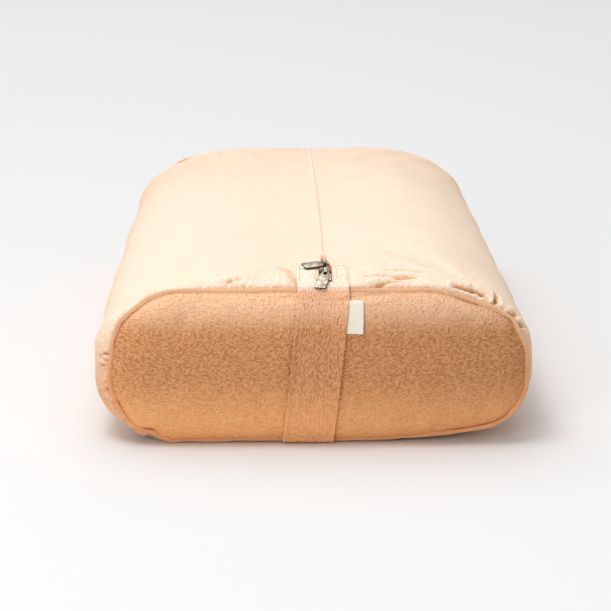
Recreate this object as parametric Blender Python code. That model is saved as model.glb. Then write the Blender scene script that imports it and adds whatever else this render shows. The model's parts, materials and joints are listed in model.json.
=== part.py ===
"""Rectangular yoga bolster with a zipped cotton cover, an inner bag of loose fibre and a carry strap on each end.

The origin is on the floor under the middle of the bolster. X runs across it, Y along it from the front end to the
rear end, and Z is up. All sizes are in metres.
"""

import math

import bmesh
import bpy

# Cover: the seams are the outlines of the two end panels, and the body swells out between them, a little more to
# the left than to the right
SEAM_TO_SEAM = 0.600
BODY_WIDTH = 0.312
BODY_HEIGHT = 0.1235
SIDE_SWELL = 0.0075
TOP_SWELL = 0.0115
SEAM_WIDTH = BODY_WIDTH - 2 * SIDE_SWELL
SEAM_TOP = BODY_HEIGHT - TOP_SWELL
SEAM_BASE = 0.0016
SEAM_SHIFT = 0.0034
SHOULDER_LENGTH = 0.024
SHOULDER_FULLNESS = 1.6
PANEL_BULGE = 0.008
COVER_WALL = 0.0012
WELT_RADIUS = 0.0011

# Corner radii of the cross-section, across and up: the bottom right corner is slumped
SEAM_CORNERS = {
    "top_right": (0.058, 0.046),
    "bottom_right": (0.088, 0.048),
    "bottom_left": (0.042, 0.044),
    "top_left": (0.040, 0.046),
}
BODY_CORNERS = {
    "top_right": (0.105, 0.052),
    "bottom_right": (0.086, 0.050),
    "bottom_left": (0.048, 0.050),
    "top_left": (0.105, 0.052),
}

# Inner bag and filling
BAG_WALL = 0.0006
BAG_SIDE_CLEARANCE = 0.0015
BAG_TOP_CLEARANCE = 0.0007
BAG_END_CLEARANCE = 0.004

# Carry straps and side label
STRAP_WIDTH = 0.037
STRAP_THICKNESS = 0.0012
STRAP_CLEARANCE = 0.0006
STRAP_TOP_LAP = 0.004
STRAP_FOOT = 0.003
FRONT_STRAP_TOP_X = 0.006
FRONT_STRAP_SLANT = -0.0105
LABEL_WIDTH = 0.0112
LABEL_HEIGHT = 0.022
LABEL_THICKNESS = 0.0008
LABEL_DROP = 0.007
STITCH_WIDTH = 0.0006
STITCH_HEIGHT = 0.0004
STITCH_EDGE = 0.003
STITCH_SETBACK = 0.0028

# Zip: it lies under two lips of the cover, right of the middle
ZIP_OFFSET = 0.008
SLOT_WIDTH = 0.0028
LIP_WIDTH = 0.010
SLOT_END_MARGIN = 0.002
COIL_WIDTH = 0.0021
COIL_THICKNESS = 0.0016
COIL_SPACING = 0.0016
TAPE_WIDTH = 0.0135
TAPE_THICKNESS = 0.0004
TAPE_END_MARGIN = 0.003
STOP_LENGTH = 0.002
STOP_THICKNESS = 0.0020

# Sliders
SLIDER_LENGTH = 0.010
SLIDER_WIDTH = 0.0084
SLIDER_PLATE = 0.0010
SLIDER_CHAMBER = 0.0026
SLIDER_CLEARANCE = 0.0005
SLIDER_NOSE_CUT = 0.0012
FLANGE_THICKNESS = 0.0008
FLANGE_GAP = 0.0015
POST_WIDTH = 0.0010
POST_LENGTH = 0.0030
CROWN_WIDTH = 0.0020
CROWN_LENGTH = 0.0074
CROWN_HEIGHT = 0.0043
CROWN_BAND = 0.0010
CROWN_CORNER = 0.0006
FRONT_SLIDER_AT = 0.013
REAR_SLIDER_AT = 0.027

# Pull tabs
TAB_LENGTH = 0.020
TAB_WIDTH = 0.0085
TAB_THICKNESS = 0.0011
TAB_CORNER = 0.0010
EYE_LENGTH = 0.0028
EYE_WIDTH = 0.0030
EYE_RIM = 0.0010
EYE_NECK_WIDTH = 0.0056
EYE_NECK_LENGTH = 0.0044
EYE_NECK_FLARE = 0.0016
FRONT_TAB_PIVOT = (-0.0018, 0.0023)
FRONT_TAB_DROOP = 23.0
FRONT_TAB_SWING = 15.0
REAR_TAB_HEIGHT = 0.00225
REAR_TAB_TURN = 62.0
REAR_TAB_DROOP = 1.0
REAR_TAB_ROLL = 14.0

# Neighbouring solids keep this much air
GAP = 0.0003

# Mesh fineness
CORNER_STEPS = 6
SHOULDER_STEPS = (0.0, 0.03, 0.10, 0.22, 0.38, 0.58, 0.80, 1.0)
PANEL_RINGS = (1.0, 0.85, 0.65, 0.40, 0.18)
STRAP_STEPS = 8

TUBE_LENGTH = SEAM_TO_SEAM - 2 * (WELT_RADIUS + GAP)
PANEL_RIM = SEAM_TO_SEAM / 2 + WELT_RADIUS + GAP + COVER_WALL
ZIP_DEPTH = COVER_WALL + SLIDER_CLEARANCE + 2 * SLIDER_PLATE + SLIDER_CHAMBER
CHAIN_LEVEL = -(COVER_WALL + SLIDER_CLEARANCE + SLIDER_PLATE + SLIDER_CHAMBER / 2)
CHAIN_START = FRONT_SLIDER_AT - SLIDER_LENGTH / 2
CHAIN_END = TUBE_LENGTH - REAR_SLIDER_AT + SLIDER_LENGTH / 2


def linear(channel):
    return channel / 12.92 if channel <= 0.04045 else ((channel + 0.055) / 1.055) ** 2.4


def material(name, srgb, roughness, metallic=0.0):
    made = bpy.data.materials.new(name)
    made.use_nodes = True
    shader = made.node_tree.nodes["Principled BSDF"]
    shader.inputs["Base Color"].default_value = (*[linear(channel / 255) for channel in srgb], 1.0)
    shader.inputs["Roughness"].default_value = roughness
    shader.inputs["Metallic"].default_value = metallic
    return made


def mix(low, high, amount):
    return low + (high - low) * amount


def swell(distance):
    """How far the body has grown from the seam's size, 0 to 1, at this distance from the tube's front edge."""
    nearest = max(min(distance, TUBE_LENGTH - distance), 0.0)
    short = 1.0 - min(nearest / SHOULDER_LENGTH, 1.0)
    return (1.0 - short**SHOULDER_FULLNESS) ** (1.0 / SHOULDER_FULLNESS)


def quarter(corner, radii, turn):
    """Points of one rounded corner, clockwise as seen from the front. turn 0 starts at the top."""
    points = []
    for step in range(CORNER_STEPS + 1):
        angle = math.radians(90.0 * (turn + step / CORNER_STEPS))
        points.append((corner[0] + radii[0] * math.sin(angle), corner[1] + radii[1] * math.cos(angle)))
    return points


def outline(amount, inset=0.0, top_inset=None):
    """(x, z) round the cross-section from the zip's right lip to its left lip, as seen from the front."""
    top_inset = inset if top_inset is None else top_inset
    half = mix(SEAM_WIDTH, BODY_WIDTH, amount) / 2 - inset
    top = mix(SEAM_TOP, BODY_HEIGHT, amount) - top_inset
    base = mix(SEAM_BASE, 0.0, amount) + inset
    radii = {
        name: [mix(SEAM_CORNERS[name][i], BODY_CORNERS[name][i], amount) - inset for i in (0, 1)]
        for name in SEAM_CORNERS
    }
    right = mix(SEAM_SHIFT, 0.0, amount) + half
    left = right - 2 * half
    centres = {
        "top_right": (right - radii["top_right"][0], top - radii["top_right"][1]),
        "bottom_right": (right - radii["bottom_right"][0], base + radii["bottom_right"][1]),
        "bottom_left": (left + radii["bottom_left"][0], base + radii["bottom_left"][1]),
        "top_left": (left + radii["top_left"][0], top - radii["top_left"][1]),
    }
    points = [(ZIP_OFFSET + SLOT_WIDTH / 2, top), (ZIP_OFFSET + LIP_WIDTH, top)]
    for turn, name in enumerate(("top_right", "bottom_right", "bottom_left", "top_left")):
        points += quarter(centres[name], radii[name], turn)
    return points + [(ZIP_OFFSET - LIP_WIDTH, top), (ZIP_OFFSET - SLOT_WIDTH / 2, top)]


def crest(distance):
    """(y, z) on the cover over the zip, this far behind the tube's front edge."""
    return (distance - TUBE_LENGTH / 2, mix(SEAM_TOP, BODY_HEIGHT, swell(distance)))


def crest_angle(distance):
    """How steeply the cover climbs over the zip at this distance, in radians."""
    reach = SHOULDER_LENGTH / 200
    low, high = crest(max(distance - reach, 0.0)), crest(min(distance + reach, TUBE_LENGTH))
    return math.atan2(high[1] - low[1], high[0] - low[0])


def over_crest(distance, height):
    """(y, z) at a height square to the cover over the zip."""
    y, z = crest(distance)
    angle = crest_angle(distance)
    return (y - height * math.sin(angle), z + height * math.cos(angle))


def panel_out(z):
    """How far the end panel's outer face stands from the middle of the bolster at this height."""
    middle = (SEAM_TOP + SEAM_BASE) / 2
    share = (z - middle) / ((SEAM_TOP - SEAM_BASE) / 2)
    return PANEL_RIM + PANEL_BULGE * (1.0 - share**2)


def add(name, mesh, finish, smooth_below=None):
    mesh.materials.append(finish)
    if smooth_below is not None:
        mesh.shade_smooth()
        mesh.set_sharp_from_angle(angle=math.radians(smooth_below))
    made = bpy.data.objects.new(name, mesh)
    bpy.context.scene.collection.objects.link(made)
    return made


def mesh_from(name, shape):
    bmesh.ops.recalc_face_normals(shape, faces=shape.faces)
    mesh = bpy.data.meshes.new(name)
    shape.to_mesh(mesh)
    shape.free()
    return mesh


def loft(name, rings, closed_round=True, cap=False, skip=None, tip=None):
    """Rings of points joined one to the next. skip(ring, column) leaves a face out, and tip closes the last ring."""
    shape = bmesh.new()
    rows = [[shape.verts.new(point) for point in ring] for ring in rings]
    count = len(rings[0])
    columns = range(count if closed_round else count - 1)
    for r, (row, following) in enumerate(zip(rows, rows[1:])):
        for c in columns:
            if skip is None or not skip(r, c):
                after = (c + 1) % count
                shape.faces.new((row[c], row[after], following[after], following[c]))
    if cap:
        shape.faces.new(rows[0])
        shape.faces.new(rows[-1])
    if tip is not None:
        centre = shape.verts.new(tip)
        for c in range(count):
            shape.faces.new((rows[-1][c], rows[-1][(c + 1) % count], centre))
    return mesh_from(name, shape)


def prism(name, profile, along, start, end):
    """A flat profile pushed from start to end along the axis named X, Y or Z."""
    place = {
        "X": lambda a, b, depth: (depth, a, b),
        "Y": lambda a, b, depth: (a, depth, b),
        "Z": lambda a, b, depth: (a, b, depth),
    }[along]
    return loft(name, [[place(a, b, depth) for a, b in profile] for depth in (start, end)], cap=True)


def rectangle(width, low, high):
    """A rectangle across the middle line, from low to high along it."""
    return ((-width / 2, low), (width / 2, low), (width / 2, high), (-width / 2, high))


def thicken(made, thickness, offset):
    wall = made.modifiers.new("Wall", "SOLIDIFY")
    wall.thickness = thickness
    wall.offset = offset
    wall.use_even_offset = True


def combine(made, other_mesh, operation):
    """Joins or cuts made with a hidden helper."""
    helper = bpy.data.objects.new(other_mesh.name, other_mesh)
    bpy.context.scene.collection.objects.link(helper)
    helper.hide_render = True
    helper.display_type = "WIRE"
    helper.parent = made
    change = made.modifiers.new(other_mesh.name, "BOOLEAN")
    change.operation = operation
    change.object = helper


def body_distances():
    """Distances behind the tube's front edge at which the body's cross-sections lie."""
    front = [share * SHOULDER_LENGTH for share in SHOULDER_STEPS]
    rear = [TUBE_LENGTH - distance for distance in reversed(front)]
    return front + [TUBE_LENGTH / 4, TUBE_LENGTH / 2, TUBE_LENGTH * 3 / 4] + rear


def cover_body_panel(finish):
    """One length of cotton round the body, open along the zip's slot and at both ends."""
    slot = (STRAP_TOP_LAP + SLOT_END_MARGIN, CHAIN_END + SLOT_END_MARGIN)
    distances = sorted(set(body_distances()) | set(slot))
    rings = [[(x, crest(d)[0], z) for x, z in outline(swell(d))] for d in distances]

    def in_slot(ring, column):
        return column == len(rings[0]) - 1 and slot[0] <= distances[ring] < slot[1]

    made = add("cover_body_panel", loft("cover_body_panel", rings, skip=in_slot), finish, 40)
    thicken(made, COVER_WALL, -1)


def cover_end_panel(name, end, finish):
    """A rounded panel that bulges outwards. end is -1 at the front and 1 at the rear."""
    middle = (SEAM_TOP + SEAM_BASE) / 2
    rings = []
    for share in PANEL_RINGS:
        out = PANEL_RIM + PANEL_BULGE * (1.0 - share**2)
        rings.append([(mix(SEAM_SHIFT, x, share), end * out, mix(middle, z, share)) for x, z in outline(0.0)])
    tip = (SEAM_SHIFT, end * (PANEL_RIM + PANEL_BULGE), middle)
    mesh = loft(name, rings, tip=tip)
    facing = sum(polygon.normal.y * polygon.area for polygon in mesh.polygons)
    if facing * end < 0:
        mesh.flip_normals()
    thicken(add(name, mesh, finish, 40), COVER_WALL, -1)


def seam_welt(name, end, finish):
    """The raised seam round an end panel, a closed curve with a round bevel."""
    points = outline(0.0)
    curve = bpy.data.curves.new(name, "CURVE")
    curve.dimensions = "3D"
    curve.bevel_depth = WELT_RADIUS
    curve.bevel_resolution = 1
    spline = curve.splines.new("POLY")
    spline.points.add(len(points) - 1)
    for point, (x, z) in zip(spline.points, points):
        point.co = (x, end * SEAM_TO_SEAM / 2, z, 1.0)
    spline.use_cyclic_u = True
    curve.materials.append(finish)
    made = bpy.data.objects.new(name, curve)
    bpy.context.scene.collection.objects.link(made)


def strap_route():
    """(distance out from the middle, z) of the strap's inner face, from its lap on top of the cover to its foot."""
    route = []
    for share in (1.0, 0.6, 0.3, 0.1):
        y, z = over_crest(share * STRAP_TOP_LAP, STRAP_CLEARANCE)
        route.append((-y, z))
    reach = WELT_RADIUS + STRAP_CLEARANCE
    route.append((SEAM_TO_SEAM / 2 + reach / 2, SEAM_TOP + reach * math.sqrt(0.75)))
    route.append((PANEL_RIM + STRAP_CLEARANCE, SEAM_TOP))
    top = SEAM_TOP - PANEL_BULGE / 2
    for step in range(STRAP_STEPS + 1):
        z = mix(top, STRAP_FOOT, step / STRAP_STEPS)
        route.append((panel_out(z) + STRAP_CLEARANCE, z))
    return route


def strap_x(end, z):
    """The middle of the strap at this height. The front strap slants, and the rear one hangs straight from the zip."""
    if end > 0:
        return ZIP_OFFSET
    return FRONT_STRAP_TOP_X + FRONT_STRAP_SLANT * min((SEAM_TOP - z) / (SEAM_TOP - SEAM_BASE), 1.0)


def carry_strap(name, end, finish):
    """A flat folded strap, sewn on top of the seam and at the foot of the end panel."""
    rows = []
    for out, z in strap_route():
        middle = strap_x(end, z)
        rows.append([(middle + side * STRAP_WIDTH / 2, end * out, z) for side in (-1, 0, 1)])
    mesh = loft(name, rows, closed_round=False)
    facing = sum(polygon.normal.y * polygon.area for polygon in mesh.polygons)
    if facing * end < 0:
        mesh.flip_normals()
    thicken(add(name, mesh, finish), STRAP_THICKNESS, 1)


def strap_stitching(name, end, at_top, finish):
    """A row of thread across the strap near its top or its foot, standing on the strap's outer face."""
    z = SEAM_TOP - PANEL_BULGE / 2 - STITCH_SETBACK if at_top else STRAP_FOOT + STITCH_SETBACK
    out = panel_out(z) + STRAP_CLEARANCE + STRAP_THICKNESS + GAP
    lean = math.atan2(panel_out(z + STITCH_WIDTH) - panel_out(z), STITCH_WIDTH)
    length = STRAP_WIDTH - 2 * STITCH_EDGE
    profile = rectangle(length, -STITCH_WIDTH / 2, STITCH_WIDTH / 2)
    made = add(name, prism(name, profile, "Y", *sorted((0.0, end * STITCH_HEIGHT))), finish)
    made.location = (strap_x(end, z), end * out, z)
    made.rotation_euler.x = -end * lean


def side_label(finish):
    """A small bare woven label beside the front strap, just under the top seam."""
    top = SEAM_TOP - LABEL_DROP
    rows = []
    for step in range(4):
        z = top - LABEL_HEIGHT * step / 3
        start = strap_x(-1, z) + STRAP_WIDTH / 2 + GAP
        out = panel_out(z) + STRAP_CLEARANCE
        rows.append([(start + LABEL_WIDTH * share, -out, z) for share in (0.0, 1.0)])
    mesh = loft("side_label", rows, closed_round=False)
    if sum(polygon.normal.y for polygon in mesh.polygons) > 0:
        mesh.flip_normals()
    thicken(add("side_label", mesh, finish), LABEL_THICKNESS, 1)


def chain_distances(start, end):
    """Cross-sections along the zip: close together on the sloping front shoulder, far apart on the level."""
    steps = 6
    slope = [mix(start, SHOULDER_LENGTH, step / steps) for step in range(steps + 1)]
    fall = [mix(TUBE_LENGTH - SHOULDER_LENGTH, end, step / 2) for step in range(3)]
    return slope + [TUBE_LENGTH / 2] + fall


def sweep(name, profile, distances):
    """A profile of (x from the zip's middle, height over the cover) carried along the zip."""
    rings = []
    for distance in distances:
        ring = []
        for x, height in profile:
            y, z = over_crest(distance, height)
            ring.append((ZIP_OFFSET + x, y, z))
        rings.append(ring)
    return loft(name, rings, cap=True)


def zip_coil(name, side, finish):
    """The outer shape of one row of nylon coil, with its inner corners cut."""
    inner = COIL_SPACING / 2
    outer = inner + COIL_WIDTH
    top, base = CHAIN_LEVEL + COIL_THICKNESS / 2, CHAIN_LEVEL - COIL_THICKNESS / 2
    cut = COIL_THICKNESS / 3
    profile = [
        (side * inner, CHAIN_LEVEL),
        (side * (inner + cut), top),
        (side * (outer - cut), top),
        (side * outer, CHAIN_LEVEL),
        (side * (outer - cut), base),
        (side * (inner + cut), base),
    ]
    start = CHAIN_START + STOP_LENGTH / 4
    add(name, sweep(name, profile, chain_distances(start, CHAIN_END)), finish)


def zip_tape(name, side, finish):
    """A woven tape beside its coil, stepping up outside the sliders to lie against the cover."""
    inner = COIL_SPACING / 2 + COIL_WIDTH + GAP
    step_start = SLIDER_WIDTH / 2 + GAP
    upper = -(COVER_WALL + GAP) - TAPE_THICKNESS / 2
    rise = upper - CHAIN_LEVEL
    middle_line = [
        (inner, CHAIN_LEVEL),
        (step_start, CHAIN_LEVEL),
        (step_start + rise / 2, upper),
        (inner + TAPE_WIDTH, upper),
    ]
    half = TAPE_THICKNESS / 2
    profile = [(side * x, height + half) for x, height in middle_line]
    profile += [(side * x, height - half) for x, height in reversed(middle_line)]
    start = CHAIN_START - STOP_LENGTH - TAPE_END_MARGIN / 2
    add(name, sweep(name, profile, chain_distances(start, CHAIN_END + STOP_LENGTH + TAPE_END_MARGIN)), finish)


def zip_stop(name, distance, finish):
    """A metal stop across the end of both coils, between the tapes."""
    profile = rectangle(COIL_SPACING + 2 * COIL_WIDTH, -STOP_LENGTH / 2, STOP_LENGTH / 2)
    made = add(name, prism(name, profile, "Z", -STOP_THICKNESS / 2, STOP_THICKNESS / 2), finish)
    y, z = over_crest(distance, CHAIN_LEVEL)
    made.location = (ZIP_OFFSET, y, z)
    made.rotation_euler.x = crest_angle(distance)


def plate_profile(sign):
    """Half of the slider's cross-section: a plate with a flange turned in along each edge."""
    half = SLIDER_WIDTH / 2
    face = SLIDER_CHAMBER / 2
    outer = face + SLIDER_PLATE
    lip = FLANGE_GAP / 2
    right = [(half, outer), (half, lip), (half - FLANGE_THICKNESS, lip), (half - FLANGE_THICKNESS, face)]
    points = right + [(-x, height) for x, height in reversed(right)]
    return [(x, CHAIN_LEVEL + sign * height) for x, height in points]


def slider(name, distance, nose, finish):
    """A cast slider with two plates, a post between them and a crown over the top. nose is the side its post is on."""
    half = SLIDER_LENGTH / 2
    made = add(name, prism(name, plate_profile(1), "Y", -half, half), finish)
    combine(made, prism(name + "_lower_plate", plate_profile(-1), "Y", -half, half), "UNION")

    post_start = nose * half
    post_end = nose * (half - POST_LENGTH)
    reach = SLIDER_CHAMBER / 2 + SLIDER_PLATE / 2
    post = rectangle(POST_WIDTH, CHAIN_LEVEL - reach, CHAIN_LEVEL + reach)
    inset = nose * GAP
    combine(made, prism(name + "_post", post, "Y", *sorted((post_start - inset, post_end))), "UNION")

    foot = -(COVER_WALL + SLIDER_CLEARANCE + SLIDER_PLATE / 2)
    outer, inner = CROWN_LENGTH / 2, CROWN_LENGTH / 2 - CROWN_BAND
    under = CROWN_HEIGHT - CROWN_BAND
    right = [
        (outer - CROWN_CORNER, CROWN_HEIGHT),
        (outer, CROWN_HEIGHT - CROWN_CORNER),
        (outer, foot),
        (inner, foot),
        (inner, under),
    ]
    crown = right + [(-y, height) for y, height in reversed(right)]
    combine(made, prism(name + "_crown", crown, "X", -CROWN_WIDTH / 2, CROWN_WIDTH / 2), "UNION")

    wide, cut = SLIDER_WIDTH / 2, SLIDER_NOSE_CUT
    right = [(wide + cut, -nose * (half + cut)), (wide + cut, nose * (half - 3 * cut)), (wide - cut, nose * (half + cut))]
    plan = right + [(-x, y) for x, y in reversed(right)]
    keep = prism(name + "_plan", plan, "Z", -2 * ZIP_DEPTH, 2 * CROWN_HEIGHT)
    combine(made, keep, "INTERSECT")

    y, z = crest(distance)
    made.location = (ZIP_OFFSET, y, z)
    made.rotation_euler.x = crest_angle(distance)
    return made


def pull_tab(name, eye_start, finish):
    """A flat plate that points along -Y, with its eye round the origin. eye_start is the eye's edge behind the origin."""
    back = eye_start + EYE_RIM
    tip = back - TAB_LENGTH
    neck, wide = EYE_NECK_WIDTH / 2, TAB_WIDTH / 2
    neck_end = back - EYE_NECK_LENGTH
    right = [
        (neck - TAB_CORNER / 2, back),
        (neck, back - TAB_CORNER / 2),
        (neck, neck_end),
        (wide, neck_end - EYE_NECK_FLARE),
        (wide, tip + TAB_CORNER),
        (wide - TAB_CORNER * 0.3, tip + TAB_CORNER * 0.3),
        (wide - TAB_CORNER, tip),
    ]
    plan = right + [(-x, y) for x, y in reversed(right)]
    made = add(name, prism(name, plan, "Z", -TAB_THICKNESS / 2, TAB_THICKNESS / 2), finish)
    eye = rectangle(EYE_WIDTH, eye_start - EYE_LENGTH, eye_start)
    combine(made, prism(name + "_eye", eye, "Z", -TAB_THICKNESS, TAB_THICKNESS), "DIFFERENCE")
    return made


def hang_front_tab(finish):
    """The front tab droops over the edge from the front corner of its slider's crown, swung a little to the left."""
    back, height = FRONT_TAB_PIVOT
    angle = crest_angle(FRONT_SLIDER_AT)
    y, z = crest(FRONT_SLIDER_AT)
    pivot = bpy.data.objects.new("front_pull_pivot", None)
    bpy.context.scene.collection.objects.link(pivot)
    pivot.location = (
        ZIP_OFFSET,
        y + back * math.cos(angle) - height * math.sin(angle),
        z + back * math.sin(angle) + height * math.cos(angle),
    )
    made = pull_tab("front_pull_tab", GAP, finish)
    made.parent = pivot
    made.rotation_euler.x = math.radians(FRONT_TAB_DROOP)
    made.rotation_euler.z = -math.radians(FRONT_TAB_SWING)
    print("front pull pivot", [round(value, 6) for value in pivot.location], "slope", round(math.degrees(angle), 3))


def hang_rear_tab(finish):
    """The rear tab lies to the left, turned round the rear leg of its slider's crown."""
    leg = CROWN_LENGTH / 2 - CROWN_BAND / 2
    y, z = crest(REAR_SLIDER_AT)
    pivot = bpy.data.objects.new("rear_pull_pivot", None)
    bpy.context.scene.collection.objects.link(pivot)
    pivot.location = (ZIP_OFFSET, y + leg, z + REAR_TAB_HEIGHT)
    pivot.rotation_euler.z = -math.radians(REAR_TAB_TURN)
    made = pull_tab("rear_pull_tab", EYE_LENGTH / 2, finish)
    made.parent = pivot
    made.rotation_euler.x = math.radians(REAR_TAB_DROOP)
    made.rotation_euler.y = math.radians(REAR_TAB_ROLL)
    print("rear pull pivot", [round(value, 6) for value in pivot.location])


def bag_rings(inset, top_inset, end_clearance):
    """Cross-sections of what lies inside the cover, this far in from it."""
    first, last = end_clearance, TUBE_LENGTH - end_clearance
    distances = [first] + [d for d in body_distances() if first + GAP < d < last - GAP] + [last]
    return [[(x, crest(d)[0], z) for x, z in outline(swell(d), inset, top_inset)] for d in distances]


def inner_bag(finish):
    """A plain cotton bag, open here at its seams: a sleeve and an end piece at each end."""
    inset = COVER_WALL + BAG_SIDE_CLEARANCE
    top_inset = ZIP_DEPTH + BAG_TOP_CLEARANCE
    rings = bag_rings(inset, top_inset, BAG_END_CLEARANCE)
    thicken(add("inner_bag_sleeve", loft("inner_bag_sleeve", rings), finish, 40), BAG_WALL, -1)
    for name, ring, end in (("inner_bag_front_panel", rings[0], -1), ("inner_bag_rear_panel", rings[-1], 1)):
        start = ring[0][1] + end * GAP
        profile = [(x, z) for x, y, z in ring]
        add(name, prism(name, profile, "Y", *sorted((start, start + end * BAG_WALL))), finish)


def fibre_filling(finish):
    """The loose filling, as one solid that fills the inner bag."""
    inset = COVER_WALL + BAG_SIDE_CLEARANCE + BAG_WALL + GAP
    top_inset = ZIP_DEPTH + BAG_TOP_CLEARANCE + BAG_WALL + GAP
    rings = bag_rings(inset, top_inset, BAG_END_CLEARANCE + GAP)
    add("fibre_filling", loft("fibre_filling", rings, cap=True), finish, 40)


def main():
    for old in list(bpy.data.objects):
        bpy.data.objects.remove(old, do_unlink=True)

    cotton = material("peach_cotton", (243, 196, 152), 0.9)
    welt_cotton = material("welt_cotton", (238, 190, 146), 0.9)
    strap_cotton = material("strap_cotton", (240, 190, 146), 0.9)
    thread = material("sewing_thread", (236, 190, 150), 0.7)
    label = material("woven_label", (240, 234, 222), 0.8)
    tape = material("zip_tape", (236, 196, 160), 0.85)
    nylon = material("nylon_coil", (232, 196, 164), 0.45)
    nickel = material("antique_nickel", (168, 158, 140), 0.32, 1.0)
    calico = material("inner_calico", (232, 224, 206), 0.9)
    fibre = material("fibre_filling", (238, 232, 216), 1.0)

    cover_body_panel(cotton)
    for end, word in ((-1, "front"), (1, "rear")):
        cover_end_panel(f"cover_{word}_panel", end, cotton)
        seam_welt(f"{word}_seam_welt", end, welt_cotton)
        carry_strap(f"{word}_carry_strap", end, strap_cotton)
        strap_stitching(f"{word}_strap_top_stitching", end, True, thread)
        strap_stitching(f"{word}_strap_bottom_stitching", end, False, thread)
    side_label(label)

    for side, word in ((-1, "left"), (1, "right")):
        zip_tape(f"zip_tape_{word}", side, tape)
        zip_coil(f"zip_coil_{word}", side, nylon)
    zip_stop("zip_front_stop", CHAIN_START - STOP_LENGTH / 2 - GAP, nickel)
    zip_stop("zip_rear_stop", CHAIN_END + STOP_LENGTH / 2 + GAP, nickel)
    slider("front_slider", FRONT_SLIDER_AT, 1, nickel)
    slider("rear_slider", REAR_SLIDER_AT, -1, nickel)
    hang_front_tab(nickel)
    hang_rear_tab(nickel)

    inner_bag(calico)
    fibre_filling(fibre)


main()
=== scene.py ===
import json
import math
from functools import partial

import bpy
import numpy as np
from mathutils import Matrix, Vector, noise
from mathutils.bvhtree import BVHTree
from mathutils.kdtree import KDTree

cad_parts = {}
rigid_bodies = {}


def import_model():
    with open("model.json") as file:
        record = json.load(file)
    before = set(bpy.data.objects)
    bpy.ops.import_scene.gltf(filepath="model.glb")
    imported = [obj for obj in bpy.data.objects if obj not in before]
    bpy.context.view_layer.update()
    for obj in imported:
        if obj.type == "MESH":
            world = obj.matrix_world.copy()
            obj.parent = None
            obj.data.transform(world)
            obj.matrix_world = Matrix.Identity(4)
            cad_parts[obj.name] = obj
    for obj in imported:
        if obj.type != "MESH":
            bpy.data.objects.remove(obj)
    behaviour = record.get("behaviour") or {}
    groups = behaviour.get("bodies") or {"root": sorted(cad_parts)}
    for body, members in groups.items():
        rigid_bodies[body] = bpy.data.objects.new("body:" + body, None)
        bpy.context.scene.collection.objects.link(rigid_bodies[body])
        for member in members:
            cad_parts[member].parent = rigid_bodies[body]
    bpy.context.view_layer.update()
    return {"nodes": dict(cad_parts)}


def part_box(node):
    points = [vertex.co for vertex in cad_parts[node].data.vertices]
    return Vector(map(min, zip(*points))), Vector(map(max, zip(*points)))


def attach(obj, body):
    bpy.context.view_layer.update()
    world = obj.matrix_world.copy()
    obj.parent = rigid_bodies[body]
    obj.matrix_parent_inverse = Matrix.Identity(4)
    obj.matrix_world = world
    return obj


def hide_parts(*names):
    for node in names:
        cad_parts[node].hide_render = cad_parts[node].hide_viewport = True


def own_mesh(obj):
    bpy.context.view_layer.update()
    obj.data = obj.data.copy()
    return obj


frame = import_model()
mm = 0.001
print("frame loaded:", len(frame["nodes"]), "nodes")


def linearColour(hexText):
    # sRGB hex to the linear values that the shader sockets take
    channels = [int(hexText[i:i + 2], 16) / 255 for i in (1, 3, 5)]
    return (*[c / 12.92 if c <= 0.04045 else ((c + 0.055) / 1.055) ** 2.4 for c in channels], 1.0)


def feed(node, inputs):
    # an input takes a value, or is linked from another node's output
    for key, value in inputs.items():
        if isinstance(value, bpy.types.NodeSocket):
            node.id_data.links.new(value, node.inputs[key])
        else:
            node.inputs[key].default_value = value


def addNode(tree, kind, inputs, output=None, stops=(), **settings):
    # one node with its settings, inputs and links; gives the node, or the one output that is asked for
    node = tree.nodes.new("ShaderNode" + kind)
    for key, value in settings.items():
        setattr(node, key, value)
    feed(node, inputs)
    for i, (place, colour) in enumerate(stops):
        # a colour ramp's stops: colours are hex text, plain greys are numbers
        bands = node.color_ramp.elements
        stop = bands[i] if i < 2 else bands.new(place)
        stop.position = place
        stop.color = linearColour(colour) if isinstance(colour, str) else (colour, colour, colour, 1.0)
    return node.outputs[output] if output else node


def newMaterial(name):
    material = bpy.data.materials.new(name)
    material.use_nodes = True
    # with its own node maker, its shader, and the coordinates that patterns run on
    add = partial(addNode, material.node_tree)
    return material, add, material.node_tree.nodes["Principled BSDF"], add("TexCoord", {}).outputs


def selectNone():
    # the CAD nodes arrive selected, and operators act on all that is
    for other in bpy.context.view_layer.objects:
        other.select_set(False)


def selectOnly(*objects):
    selectNone()
    for chosen in objects:
        chosen.select_set(True)
    bpy.context.view_layer.objects.active = objects[0]


def applyModifiers(piece):
    selectOnly(piece)
    for modifier in list(piece.modifiers):
        bpy.ops.object.modifier_apply(modifier=modifier.name)


def smoothBelow(piece, degrees):
    selectOnly(piece)
    bpy.ops.object.shade_smooth_by_angle(angle=math.radians(degrees))


def thicken(piece, thickness, offset):
    wall = piece.modifiers.new("Wall", "SOLIDIFY")
    wall.thickness = thickness
    wall.offset = offset
    return wall


def roundEdges(piece, width, sharperThan):
    soft = piece.modifiers.new("RoundedEdges", "BEVEL")
    soft.width = width
    soft.segments = 2
    soft.limit_method = "ANGLE"
    soft.angle_limit = math.radians(sharperThan)


def turnTowards(piece, *direction):
    # the fronts of the faces look this way
    facing = sum(face.area * face.normal.dot(Vector(direction)) for face in piece.data.polygons)
    if facing < 0:
        piece.data.flip_normals()


def readAll(items, field, width, kind=float):
    # one property of every point, face or corner
    values = np.empty(len(items) * width, dtype=kind)
    items.foreach_get(field, values)
    return values.reshape(-1, width) if width > 1 else values


def readPoints(piece):
    return readAll(piece.data.vertices, "co", 3)


def writePoints(piece, points):
    piece.data.vertices.foreach_set("co", np.ascontiguousarray(points, dtype=float).ravel())
    piece.data.update()


def cornerPoints(piece):
    # which point each corner of each face belongs to
    return readAll(piece.data.loops, "vertex_index", 1, np.int32)


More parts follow.
